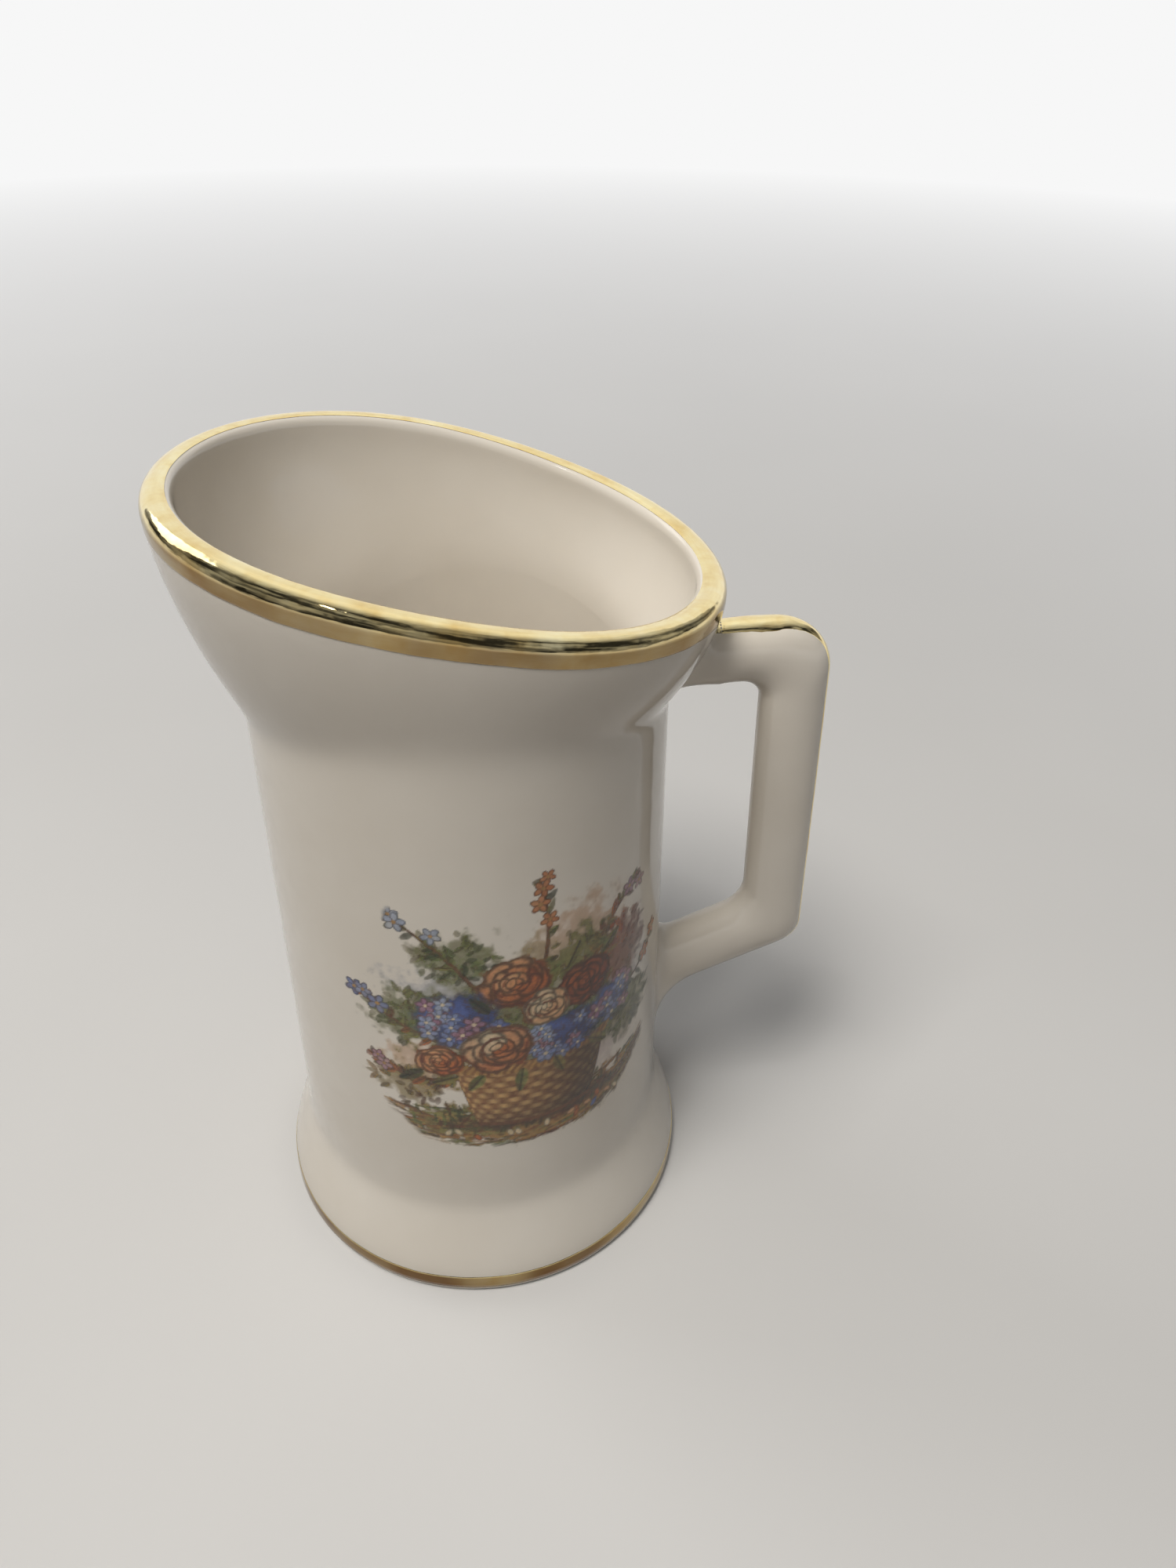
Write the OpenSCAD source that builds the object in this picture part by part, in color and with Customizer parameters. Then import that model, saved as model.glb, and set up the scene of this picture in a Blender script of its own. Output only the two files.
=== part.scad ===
// Shaving mug in slip-cast porcelain, with a flared mouth cut on a slant and a
// squared handle that is stuck on with slip, gold trim and a printed transfer.
// Millimetres, +Z up. The origin is the centre of the foot, on the table.
// The handle lies along +X and the high side of the lip is towards -X.

/* [Foot] */
// How far the foot spreads beyond the barrel
foot_spread = 3.45; // [2:0.05:6]
// Height of the crease between the foot's skirt and the barrel
foot_h = 13.5; // [10:0.5:17]
// Height of the upright edge at the bottom of the foot
foot_edge_h = 3.2; // [2.4:0.1:4.5]
// Radius under the foot's edge
foot_round = 1; // [0.4:0.1:1.6]
// Width of the bare ring that the mug stands on
foot_ring_w = 4; // [2:0.5:6]
// Depth of the hollow under the base
base_hollow = 2; // [1:0.5:3.5]

/* [Barrel] */
// Outer diameter of the barrel at the foot's crease
barrel_d_low = 49.1; // [47:0.1:51]
// Outer diameter of the barrel at the shoulder
barrel_d_high = 47; // [45:0.1:48.5]
// Thickness of the barrel's wall
wall_t = 3.2; // [2.2:0.1:4.4]
// Thickness of the floor
floor_t = 3.5; // [2.5:0.5:6]
// Radius between the floor and the wall, inside
floor_round = 6; // [2:0.5:9]

/* [Mouth] */
// Mean height of the shoulder, where the flared mouth leaves the barrel
shoulder_h = 80.8; // [78:0.2:83]
// How far the shoulder line rises on the flanks and dips at the handle
shoulder_wave = 2.7; // [0:0.1:3.5]
// Mean height of the top of the lip above the shoulder
flare_h = 16.7; // [15:0.1:22]
// Rise of the lip from the side above the handle to the high side
lip_slant = 11.4; // [4:0.2:14]
// How far the lip rises on the flanks, beyond a flat slanting cut
lip_wave = 0.5; // [0:0.1:1]
// Length of the mouth over the lip, in the plane of the handle
mouth_l = 58.8; // [56:0.2:62]
// Width of the mouth over the lip
mouth_w = 51.2; // [50:0.2:56]
// How far the mouth is set towards the high side
mouth_shift = 0.4; // [0:0.1:1.2]
// Fullness of the mouth's outline on the high side
mouth_egg = 0.7; // [0:0.1:1.5]
// Thickness of the rolled lip
lip_t = 3.2; // [2.8:0.1:4.2]
// Squareness of the lip's inner edge: 2 is a plain roll
lip_in_power = 3; // [2:0.1:5]
// Roundness of the flare: 1 is a straight cone
bowl_round = 1.65; // [1.3:0.05:2]

/* [Handle] */
// Gap for the fingers between the top of the barrel and the grip
finger_gap = 10.7; // [10:0.1:14]
// How much further out the bottom of the grip stands than its top
grip_lean = 1.4; // [0:0.1:2.5]
// Drop from the top of the lip to the upper face of the top arm
arm_drop = 6.5; // [5.9:0.1:9]
// How much the upper face of the arm rises from the mug to the corner
arm_rise = 0.4; // [0:0.1:0.8]
// Depth of the top arm, seen from the side
arm_w = 7.8; // [5.5:0.1:8.2]
// How much the arm deepens on its under side as it nears the mug
arm_arch = 0.3; // [0:0.1:1]
// Width of the grip, seen from the side
grip_w = 7.6; // [6.5:0.1:9]
// Width of the lower arm, seen from the side
lower_arm_w = 8.9; // [7:0.1:9.5]
// Height of the outer corner at the bottom of the grip
elbow_h = 37.5; // [35:0.5:42]
// Slope of the lower arm, in degrees
lower_arm_slope = 27.5; // [20:0.5:32]
// Thickness of the handle, across its plane
handle_t = 5.8; // [4.5:0.1:7]
// Outer radius at the top corner
top_corner_r = 6.5; // [4:0.5:9]
// Inner radius at the top corner
top_corner_in_r = 2.4; // [0.8:0.1:3]
// Outer radius at the bottom corner
low_corner_r = 4; // [2:0.5:6]
// Inner radius at the bottom corner
low_corner_in_r = 5; // [2:0.5:7]
// Squareness of the handle's section: 2 is an ellipse
section_power = 2.1; // [2:0.1:4]

/* [Slip joints] */
// Thickness of the fired slip between the handle and the vessel
slip_t = 0.3; // [0.2:0.05:0.6]
// Clearance left under each slip joint, so that the solids only just meet
slip_clearance = 0.06; // [0.04:0.01:0.1]
// Reach of the upper slip fillet beside the arm
upper_fillet = 2.2; // [1:0.1:2.6]
// Reach of the upper slip fillet above the arm
upper_fillet_over = 1.2; // [0.8:0.1:1.8]
// Reach of the upper slip fillet along the under side of the arm
upper_fillet_under = 4.8; // [1:0.1:4.9]
// How far that fillet comes down on the vessel
upper_fillet_drop = 1.4; // [1:0.1:3.4]
// Reach of the lower slip fillet, above and beside the arm
lower_fillet = 2; // [1.2:0.1:2.6]
// Reach of the lower slip fillet under the arm
lower_fillet_under = 6.5; // [3:0.5:7.5]

/* [Gilding] */
// Thickness of each gilded skin
gilt_t = 0.15; // [0.1:0.05:0.3]
// Clearance between a skin and the glaze under it
gilt_clearance = 0.04; // [0.03:0.01:0.06]
// How far the rim band runs over the crown to the inside, in degrees
rim_inside_angle = 30; // [10:1:50]
// Drop of the rim band below the widest line of the lip
rim_drop = 1.2; // [0.4:0.1:2]
// Width of the stripe on top of the arm
stripe_w = 3.4; // [1.5:0.1:3.6]
// Width of the stripe down the grip, which it narrows to round the corner
grip_stripe_w = 2.3; // [1.2:0.1:3.4]
// Height of the gold line round the foot
foot_line_h = 2.2; // [1:0.1:2.6]

/* [Transfer] */
// Angle from the handle's plane to the near edge of the picture
print_gap_angle = 17; // [15:1:40]
// Width of the picture, measured round the barrel
print_w = 47.2; // [32:0.2:54]
// Height of the picture
print_h = 48; // [36:0.5:50]
// Height of the picture's middle
print_mid_h = 46.5; // [44:0.5:48]
// Thickness of the printed film
print_t = 0.1; // [0.08:0.01:0.2]
// Clearance between the film and the glaze under it
print_clearance = 0.04; // [0.02:0.01:0.06]
// Number of sprays round the picture's edge
print_sprays = 13; // [9:1:17]
// Depth of the gaps between the sprays, as a share of the picture's height
print_spray_depth = 0.12; // [0.02:0.02:0.2]

/* [Hidden] */
$fn = 96;

// Columns of the vessel's mesh, and of everything that is laid on its lip
columns = 64;
// Points round the handle's section
section_points = 48;
// Widths of the blends at the shoulder, inside it, at the foot's crease and edge
shoulder_blend = 0.35;
shoulder_blend_in = 1.2;
crease_blend = 0.25;
edge_blend = 0.3;
// Width and height of the slopes that join the bare ring to the hollow
ring_slope_w = 1.2;
ring_slope_h = 0.3;
ring_slope_low_w = 0.2;
// Gap between the fillet on an arm and the first ring of the sweep
root_gap = 0.3;
// Gap between the rim band and the stripe that runs up to it
gold_gap = 0.1;
// Depth that is cut off the foot to make its ring flat
foot_trim = 0.3;

foot_r = barrel_d_low / 2 + foot_spread;
lip_h = shoulder_h + flare_h;
// Top of the lip above the handle
low_lip_h = lip_h - lip_slant / 2 - lip_wave;
arm_top_h = low_lip_h - arm_drop;
handle_reach = barrel_d_high / 2 + finger_gap + grip_w;
ring_out_r = foot_r - foot_round;
ring_in_r = ring_out_r - foot_ring_w;
floor_z = base_hollow + floor_t;
lip_r = lip_t / 2;
// The inner shoulder sits this much higher, which keeps the wall even
inner_lift = 0.4 * wall_t;

porcelain = [0.95, 0.94, 0.91];
slip_white = [0.90, 0.89, 0.86];
gold = [0.83, 0.65, 0.25];
print_colour = [0.62, 0.50, 0.34];

// ---------- general functions ----------

// Larger or smaller of two lengths, blended over about k
function smooth_max(a, b, k) =
    (a - b) / k > 30 ? a :
    (a - b) / k < -30 ? b :
    b + k * ln(1 + exp((a - b) / k));
function smooth_min(a, b, k) = -smooth_max(-a, -b, k);

function mix(a, b, t) = a + (b - a) * t;

// Point at radius r, azimuth a and height z
function polar(r, a, z) = [r * cos(a), r * sin(a), z];

// Signed power, for superellipses
function spow(x, p) = sign(x) * pow(abs(x), p);

// ---------- shape of the vessel ----------

// The barrel tapers from the foot's crease up, and is straight below it
function barrel_r(z) =
    mix(barrel_d_low, barrel_d_high, max(0, z - foot_h) / (shoulder_h - foot_h)) / 2;

// Spread of the straight skirt, from the upright edge up to the crease
function skirt_spread(z) =
    smooth_min(smooth_max(foot_spread * (foot_h - z) / (foot_h - foot_edge_h), 0, crease_blend),
               foot_spread, edge_blend);

function shoulder_z(a) = shoulder_h - shoulder_wave * cos(2 * a);

// Centre line of the rolled lip
function lip_line_r(a) =
    (mouth_l + mouth_w) / 4 - lip_r
    + (mouth_l - mouth_w) / 4 * cos(2 * a)
    - mouth_shift * cos(a)
    - mouth_egg * cos(a) * pow(sin(a), 2);
function lip_line_z(a) =
    lip_h - lip_r - lip_slant / 2 * cos(a) - lip_wave * cos(2 * a);

// Wall that follows the barrel, moved in by wall, up to a shoulder at height z0
// and then flares to radius r1 at the lip; k is how wide the shoulder's blend is
function wall_r(a, z, z0, r1, wall, k) =
    let (rise = lip_line_z(a) - z0,
         step = r1 - barrel_r(z0) + wall,
         blend = min(k * rise / (bowl_round * abs(step)), rise / 4),
         s = min(1, smooth_max(z - z0, 0, blend) / rise))
    barrel_r(smooth_min(z, z0, blend)) - wall + step * (1 - pow(1 - s, bowl_round));

function outer_r(a, z) =
    skirt_spread(z) + wall_r(a, z, shoulder_z(a), lip_line_r(a) + lip_r, 0, shoulder_blend);

function inner_r(a, z) =
    wall_r(a, z, shoulder_z(a) + inner_lift, lip_line_r(a) - lip_r, wall_t, shoulder_blend_in);

// Point on the rolled lip: t is 0 at its widest line, 90 on top, 180 inside
function lip_point(a, t, lift = 0) =
    let (k = t > 90 ? 2 / lip_in_power : 1)
    polar(lip_line_r(a) + (lip_r + lift) * spow(cos(t), k), a,
          lip_line_z(a) + (lip_r + lift) * spow(sin(t), k));

// Height at a share s of the way from the shoulder to the lip
function flare_z(a, s, lift = 0) = mix(shoulder_z(a) + lift, lip_line_z(a), s);

// Meridian of the vessel at azimuth a, from the hollow underneath, up the
// outside, over the lip and down to the floor
underside_rows = [[ring_in_r - ring_slope_w, base_hollow],
                  [ring_in_r - ring_slope_low_w, ring_slope_h],
                  [ring_in_r, -foot_trim], [ring_out_r, -foot_trim]];
edge_rows = [0.6, 0.85, 1.05, 1.3];
skirt_rows = [0.2, 0.45, 0.7, 0.88, 0.97, 1.05, 1.15, 1.35];
shoulder_rows = [-0.5, -0.25, -0.12, -0.05, 0, 0.05, 0.11, 0.18, 0.28, 0.4, 0.54, 0.68, 0.81, 0.92];
inner_rows = [0.85, 0.65, 0.45, 0.28, 0.12, 0, -0.15, -0.35];
function meridian(a) = concat(
    [for (p = underside_rows) polar(p[0], a, p[1])],
    [for (t = [15:25:90])
        polar(outer_r(a, foot_round) - foot_round * (1 - sin(t)), a, foot_round * (1 - cos(t)))],
    [for (s = edge_rows) let (z = foot_edge_h * s) polar(outer_r(a, z), a, z)],
    [for (s = skirt_rows) let (z = mix(foot_edge_h, foot_h, s)) polar(outer_r(a, z), a, z)],
    [for (s = shoulder_rows) let (z = flare_z(a, s)) polar(outer_r(a, z), a, z)],
    [for (t = [0:15:180]) lip_point(a, t)],
    [for (s = inner_rows) let (z = flare_z(a, s, inner_lift)) polar(inner_r(a, z), a, z)],
    [for (t = [0:22.5:90])
        let (z = floor_z + floor_round * (1 - sin(t)))
        polar(inner_r(a, z) - floor_round * (1 - cos(t)), a, z)]);

// ---------- meshes ----------

// Faces between rings of n points each, closed round. The diagonals turn over
// at ring turn, so that a thin wall has the same ones on both sides.
function band_faces(m, n, turn) = [
    for (i = [0:m - 2], j = [0:n - 1])
        let (a = i * n + j, b = a + n, c = i * n + (j + 1) % n, d = c + n)
        each i < turn ? [[a, b, d], [a, d, c]] : [[a, b, c], [b, d, c]]];

// Solid whose skin is a stack of rings, closed by a point at each end
module skin(rings, first, last, turn = 10000) {
    m = len(rings);
    n = len(rings[0]);
    points = concat([for (r = rings) each r], [first, last]);
    faces = concat(
        band_faces(m, n, turn),
        [for (j = [0:n - 1]) [m * n, j, (j + 1) % n]],
        [for (j = [0:n - 1]) [m * n + 1, (m - 1) * n + (j + 1) % n, (m - 1) * n + j]]);
    polyhedron(points, faces, convexity = 6);
}

// Solid between an upper and a lower sheet of m rows and n points
module slab(upper, lower) {
    m = len(upper);
    n = len(upper[0]);
    c = m * n;
    points = concat([for (r = upper) each r], [for (r = lower) each r]);
    faces = concat(
        [for (i = [0:m - 2], j = [0:n - 2]) each [
            [i * n + j, i * n + j + 1, (i + 1) * n + j + 1],
            [i * n + j, (i + 1) * n + j + 1, (i + 1) * n + j],
            [c + i * n + j, c + (i + 1) * n + j + 1, c + i * n + j + 1],
            [c + i * n + j, c + (i + 1) * n + j, c + (i + 1) * n + j + 1]]],
        [for (i = [0:m - 2]) let (p = i * n, q = p + n) each [
            [p, q, c + q], [p, c + q, c + p],
            [p + n - 1, c + q + n - 1, q + n - 1], [p + n - 1, c + p + n - 1, c + q + n - 1]]],
        [for (j = [0:n - 2]) let (p = (m - 1) * n + j) each [
            [j, c + j + 1, j + 1], [j, c + j, c + j + 1],
            [p, p + 1, c + p + 1], [p, c + p + 1, c + p]]]);
    polyhedron(points, faces, convexity = 6);
}

// ---------- shape of the handle ----------

// The handle is drawn by two outlines in its own plane, as [x, z] points: the
// spine outside and the palm side inside. Each has a corner at the top and one
// at the bottom of the grip, and both have the same number of points.
spine_top = [handle_reach, arm_top_h];
spine_low = [handle_reach + grip_lean, elbow_h];
arm_dir = [-cos(lower_arm_slope), -sin(lower_arm_slope)];
palm_top = [handle_reach - grip_w, arm_top_h - arm_w];
// The palm side of the lower arm runs lower_arm_w above its spine side
palm_line = spine_low + lower_arm_w * [-sin(lower_arm_slope), cos(lower_arm_slope)];
grip_dir = (spine_low - spine_top) / norm(spine_low - spine_top);
palm_low = meet(palm_top, grip_dir, palm_line, arm_dir);
// Where the sweep stops short of the vessel
arm_root_h = arm_top_h - arm_rise;
upper_root_x = outer_r(0, arm_root_h) + slip_t + upper_fillet_over + root_gap;
lower_root_x = barrel_r(elbow_h) + slip_t + lower_fillet_under + root_gap;
spine_root = [lower_root_x, spine_low[1] - (spine_low[0] - lower_root_x) * tan(lower_arm_slope)];
palm_root = spine_root + lower_arm_w * [-sin(lower_arm_slope), cos(lower_arm_slope)];

// Crossing of the line through p along u with the line through q along v
function meet(p, u, q, v) =
    let (w = q - p, k = (w[0] * v[1] - w[1] * v[0]) / (u[0] * v[1] - u[1] * v[0])) p + u * k;

// Points of an arc of radius r that rounds the corner c between a and b
function corner(a, c, b, r, n) =
    let (u = (a - c) / norm(a - c), v = (b - c) / norm(b - c),
         half = acos(u * v) / 2,
         centre = c + (u + v) / norm(u + v) * r / sin(half),
         start = c + u * r / tan(half) - centre,
         end = c + v * r / tan(half) - centre,
         turn = acos(start * end / (r * r)))
    [for (i = [0:n])
        centre + (start * sin(turn * (1 - i / n)) + end * sin(turn * i / n)) / sin(turn)];

// Outline from p0 to p3 round the corners p1 and p2; its root hangs by sag
corner_steps = 7;
grip_steps = 5;
function outline(p0, p1, p2, p3, r1, r2, sag) =
    let (a = corner(p0, p1, p2, r1, corner_steps), b = corner(p1, p2, p3, r2, corner_steps - 1))
    concat([p0 - [0, sag], mix(p0, a[0], 0.5) - [0, sag / 4]],
           a, [for (t = [1:grip_steps - 1]) mix(a[corner_steps], b[0], t / grip_steps)], b,
           [mix(b[corner_steps - 1], p3, 0.5), p3]);

spine = outline([upper_root_x, arm_top_h], spine_top, spine_low, spine_root,
                top_corner_r, low_corner_r, arm_rise);
palm = outline([upper_root_x, arm_top_h - arm_w], palm_top, palm_low, palm_root,
               top_corner_in_r, low_corner_in_r, arm_arch);

// Point of station i at angle t of the section: 0 is the spine, 180 the palm
function handle_point(i, t, lift = 0) =
    let (s = spine[i], p = palm[i], mid = (s + p) / 2, half = norm(s - p) / 2,
         u = (s - p) / (2 * half),
         w = (half + lift) * spow(cos(t), 2 / section_power),
         y = (handle_t / 2 + lift) * spow(sin(t), 2 / section_power))
    [mid[0] + u[0] * w, y, mid[1] + u[1] * w];

section_angles = [for (j = [0:section_points - 1]) 360 * j / section_points];
function handle_ring(i) = [for (t = section_angles) handle_point(i, t)];

// Where a line from p, running in by slope (rise per length), meets the vessel
function landing(p, slope, lift, steps = 8, x = undef) =
    let (x1 = is_undef(x) ? barrel_d_low / 2 : x,
         z = p[2] + (x1 - p[0]) * slope,
         r = outer_r(atan2(p[1], x1), z) + lift,
         x2 = sqrt(r * r - p[1] * p[1]))
    steps == 0 ? [x2, p[1], p[2] + (x2 - p[0]) * slope] : landing(p, slope, lift, steps - 1, x2);

// Point on the vessel at azimuth a and height z, raised by lift
function on_vessel(a, z, lift) = polar(outer_r(a, z) + lift, a, z);

// ---------- joints between the handle and the vessel ----------

// A joint is described by the ring that the arm ends in, its slope, the reach of
// the slip along the arm at each point, and its foot on the vessel.
disc_shares = [0.25, 0.5, 0.75];
fillet_steps = 12;
fillet_shares = [for (i = [0:fillet_steps]) pow(i / fillet_steps, 0.75)];
sole_shares = [for (i = [0:fillet_steps - 1]) fillet_shares[i]];

upper_ring = handle_ring(0);
lower_ring = handle_ring(len(spine) - 1);
lower_slope = tan(lower_arm_slope);

// Rings on the vessel where each arm lands, with its slip under it
upper_land = [for (p = upper_ring) landing(p, 0, slip_t)];
lower_land = [for (p = lower_ring) landing(p, lower_slope, slip_t)];
function middle(ring) = let (n = len(ring)) [for (k = [0:2]) [for (p = ring) p[k]] * [for (p = ring) 1] / n];

// Shrunken copies of a landing ring, laid on the vessel, and the point inside them
function disc_point(p, mid, s, lift) =
    on_vessel(atan2(p[1], p[0]) * s, mix(mid[2], p[2], s), lift);
function disc_ring(ring, s, lift) = let (mid = middle(ring)) [for (p = ring) disc_point(p, mid, s, lift)];
function disc_centre(ring, lift) = disc_point(ring[0], middle(ring), 0, lift);
function disc_out(ring, lift) = [for (s = disc_shares) disc_ring(ring, s, lift)];
function disc_in(ring, lift) = [for (s = disc_shares) disc_ring(ring, 1 - s, lift)];

// Reach of the slip at angle t, along the arm and over the vessel
function upper_reach(t, under = upper_fillet_under) =
    mix(upper_fillet, cos(t) > 0 ? upper_fillet_over : under, pow(cos(t), 2));
function lower_reach(t) = mix(lower_fillet, lower_fillet_under, pow(max(0, cos(t)), 2));

// Foot of a fillet on the vessel, the share s of its reach away from the
// landing point p and out from the section's middle. The spine, at angle 0, is
// on top in the upper arm (side 1) and underneath in the lower arm (side -1).
function fillet_foot(p, t, s, reach, side, lift) =
    let (a = atan2(p[1], p[0]) + sin(t) * reach * s / outer_r(0, p[2]) * 180 / PI)
    on_vessel(a, p[2] + side * cos(t) * reach * s, lift);

// Height of a fillet over the vessel at share s, as a share of its reach
function fillet_height(s) = pow(1 - s, 2);

// Point of each fillet at angle t and share s: on the arm at 0, on the vessel at 1
function upper_foot(p, t, s, lift) =
    fillet_foot(p, t, s * s, upper_reach(t, upper_fillet_drop), 1, lift);
function lower_foot(p, t, s, lift) = fillet_foot(p, t, s * s, lower_reach(t), -1, lift);
function upper_fillet_point(p, t, s, lift = 0) =
    let (q = upper_foot(p, t, s, mix(slip_t, slip_clearance, s) + lift),
         a = atan2(q[1], q[0]) * s)
    q + polar(upper_reach(t) * fillet_height(s), a, 0);
function lower_fillet_point(p, t, s) =
    lower_foot(p, t, s, mix(slip_t, slip_clearance, s))
    + lower_reach(t) * fillet_height(s) * [1, 0, lower_slope];

section_indices = [0:section_points - 1];
function upper_fillet_ring(s) =
    [for (j = section_indices) upper_fillet_point(upper_land[j], section_angles[j], s)];
function lower_fillet_ring(s) =
    [for (j = section_indices) lower_fillet_point(lower_land[j], section_angles[j], s)];
function upper_sole_ring(s) =
    [for (j = section_indices) upper_foot(upper_land[j], section_angles[j], s, slip_clearance)];
function lower_sole_ring(s) =
    [for (j = section_indices) lower_foot(lower_land[j], section_angles[j], s, slip_clearance)];

// Solid of one joint: a disc at the landing ring, rings out to the fillet's
// edge, rings back again, and the disc on the other side
module joint_solid(land, first_lift, out, edge, back, last_lift) {
    skin(concat(disc_out(land, first_lift), out, [edge],
                [for (i = [len(back) - 1:-1:0]) back[i]], disc_in(land, last_lift)),
         disc_centre(land, first_lift), disc_centre(land, last_lift),
         len(disc_shares) + len(out));
}

// ---------- pieces ----------

module vessel() {
    meridians = [for (j = [0:columns - 1]) meridian(360 * j / columns)];
    color(porcelain)
        difference() {
            skin([for (i = [0:len(meridians[0]) - 1]) [for (m = meridians) m[i]]],
                 [0, 0, base_hollow], [0, 0, floor_z]);
            // The foot ring is ground flat
            translate([0, 0, -2 * foot_trim])
                cylinder(h = 2 * foot_trim, r = foot_r + foot_round);
        }
}

// The sweep is closed by a disc at each end that lies on the fired slip
module handle() {
    color(porcelain)
        skin(concat(disc_out(lower_land, slip_t), [lower_land, lower_fillet_ring(0)],
                    [for (i = [len(spine) - 1:-1:0]) handle_ring(i)],
                    [upper_fillet_ring(0), upper_land], disc_in(upper_land, slip_t)),
             disc_centre(lower_land, slip_t), disc_centre(upper_land, slip_t));
}

module handle_upper_lute() {
    color(slip_white)
        joint_solid(upper_land, slip_t,
                    concat([upper_land], [for (s = sole_shares) upper_fillet_ring(s)]),
                    upper_fillet_ring(1), [for (s = sole_shares) upper_sole_ring(s)],
                    slip_clearance);
}

module handle_lower_lute() {
    color(slip_white)
        joint_solid(lower_land, slip_clearance,
                    [for (s = sole_shares) lower_sole_ring(s)], lower_fillet_ring(1),
                    concat([lower_land], [for (s = sole_shares) lower_fillet_ring(s)]),
                    slip_t);
}

// Gold over the lip: from the drop outside, over the crown, to the inside
module rim_gilding() {
    drops = [1, 0.5];
    angles = [0:15:90];
    inside = [90 + rim_inside_angle / 2, 90 + rim_inside_angle];
    function rim_sheet(a, lift) = concat(
        [for (d = drops) let (z = lip_line_z(a) - rim_drop * d) polar(outer_r(a, z) + lift, a, z)],
        [for (t = angles) lip_point(a, t, lift)],
        [for (t = inside) lip_point(a, t, lift)]);
    n = len(rim_sheet(0, 0));
    loops = [for (j = [0:columns - 1])
        let (a = 360 * j / columns, up = rim_sheet(a, gilt_clearance + gilt_t),
             low = rim_sheet(a, gilt_clearance))
        concat(up, [for (i = [n - 1:-1:0]) low[i]])];
    points = [for (l = loops) each l];
    k = 2 * n;
    color(gold)
        polyhedron(points, [
            for (j = [0:columns - 1], i = [0:k - 1])
                let (p = j * k, q = ((j + 1) % columns) * k, i1 = (i + 1) % k)
                each [[p + i, p + i1, q + i1], [p + i, q + i1, q + i]]], convexity = 6);
}

// Gold stripe from the rim band over the upper joint and along the handle's spine
module handle_gilding() {
    function angles(width) =
        let (edge = asin(pow(width / handle_t, section_power / 2)))
        [for (s = [-1, -0.7, -0.35, 0, 0.35, 0.7, 1]) edge * s];
    arm_angles = angles(stripe_w);
    // The corner starts at the third station of the spine; it narrows over the first half
    function width(i) =
        mix(stripe_w, grip_stripe_w, min(1, max(0, (i - 2) / (corner_steps / 2))));
    function root(t, lift) = landing(handle_point(0, t, lift), 0, slip_t);
    function on_flare(t, s, lift) =
        let (p = upper_fillet_point(root(t, lift), t, 1),
             a = atan2(p[1], p[0]),
             top = lip_line_z(a) - rim_drop - gold_gap)
        on_vessel(a, mix(top, p[2], s), slip_clearance + lift);
    function stripe(lift) = concat(
        [for (s = [0, 1 / 3, 2 / 3]) [for (t = arm_angles) on_flare(t, s, lift)]],
        [for (i = [fillet_steps:-2:0])
            [for (t = arm_angles) upper_fillet_point(root(t, lift), t, fillet_shares[i], lift)]],
        [for (i = [0:len(spine) - 1]) [for (t = angles(width(i))) handle_point(i, t, lift)]]);
    color(gold) slab(stripe(gilt_clearance + gilt_t), stripe(gilt_clearance));
}

// Gold line round the upright edge of the foot
module foot_gilding() {
    low = foot_round;
    r = foot_r + gilt_clearance;
    color(gold)
        rotate_extrude()
            translate([r, low])
                square([gilt_t, foot_line_h]);
}

// Printed film on the front of the barrel, laid flat on the facets of its skin
module transfer_print() {
    facet = 360 / columns;
    step = facet / 3;
    half = print_w / 2 / barrel_r(print_mid_h) * 180 / PI;
    facing = -print_gap_angle - half;
    rows = [ceil((facing - half) / step + 0.5):floor((facing + half) / step - 0.5)];
    function facet_r(a, z) =
        barrel_r(z) * cos(facet / 2) / cos(a - facet * (floor(a / facet + 0.001) + 0.5));
    // Half height at azimuth a, up (1) or down (-1)
    function half_h(a, side) =
        let (u = (a - facing) / half, t = side * acos(u))
        print_h / 2 * sqrt(1 - u * u)
        * (1 - print_spray_depth * (0.5 - 0.5 * cos(print_sprays * t)));
    function film(a, lift) = [
        for (side = [-1, 1])
            let (z = print_mid_h + side * half_h(a, side)) polar(facet_r(a, z) + lift, a, z)];
    color(print_colour)
        slab([for (i = rows) film(step * i, print_clearance + print_t)],
             [for (i = rows) film(step * i, print_clearance)]);
}

vessel();
handle();
handle_upper_lute();
handle_lower_lute();
rim_gilding();
handle_gilding();
foot_gilding();
transfer_print();
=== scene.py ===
import math

import bpy
import numpy as np
from mathutils import Matrix


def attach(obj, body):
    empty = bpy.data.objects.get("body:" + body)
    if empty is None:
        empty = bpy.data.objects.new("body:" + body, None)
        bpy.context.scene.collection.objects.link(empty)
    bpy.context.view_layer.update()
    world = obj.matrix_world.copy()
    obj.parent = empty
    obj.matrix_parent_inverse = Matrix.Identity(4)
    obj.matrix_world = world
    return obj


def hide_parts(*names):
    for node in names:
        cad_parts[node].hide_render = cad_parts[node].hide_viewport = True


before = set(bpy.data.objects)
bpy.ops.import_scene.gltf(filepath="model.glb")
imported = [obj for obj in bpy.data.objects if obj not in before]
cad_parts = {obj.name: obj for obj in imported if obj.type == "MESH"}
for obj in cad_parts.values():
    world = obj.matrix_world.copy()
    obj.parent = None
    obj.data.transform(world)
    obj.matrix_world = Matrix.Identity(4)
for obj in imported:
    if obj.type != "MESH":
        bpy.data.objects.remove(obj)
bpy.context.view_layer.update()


# -------- sizes, in mm

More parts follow.
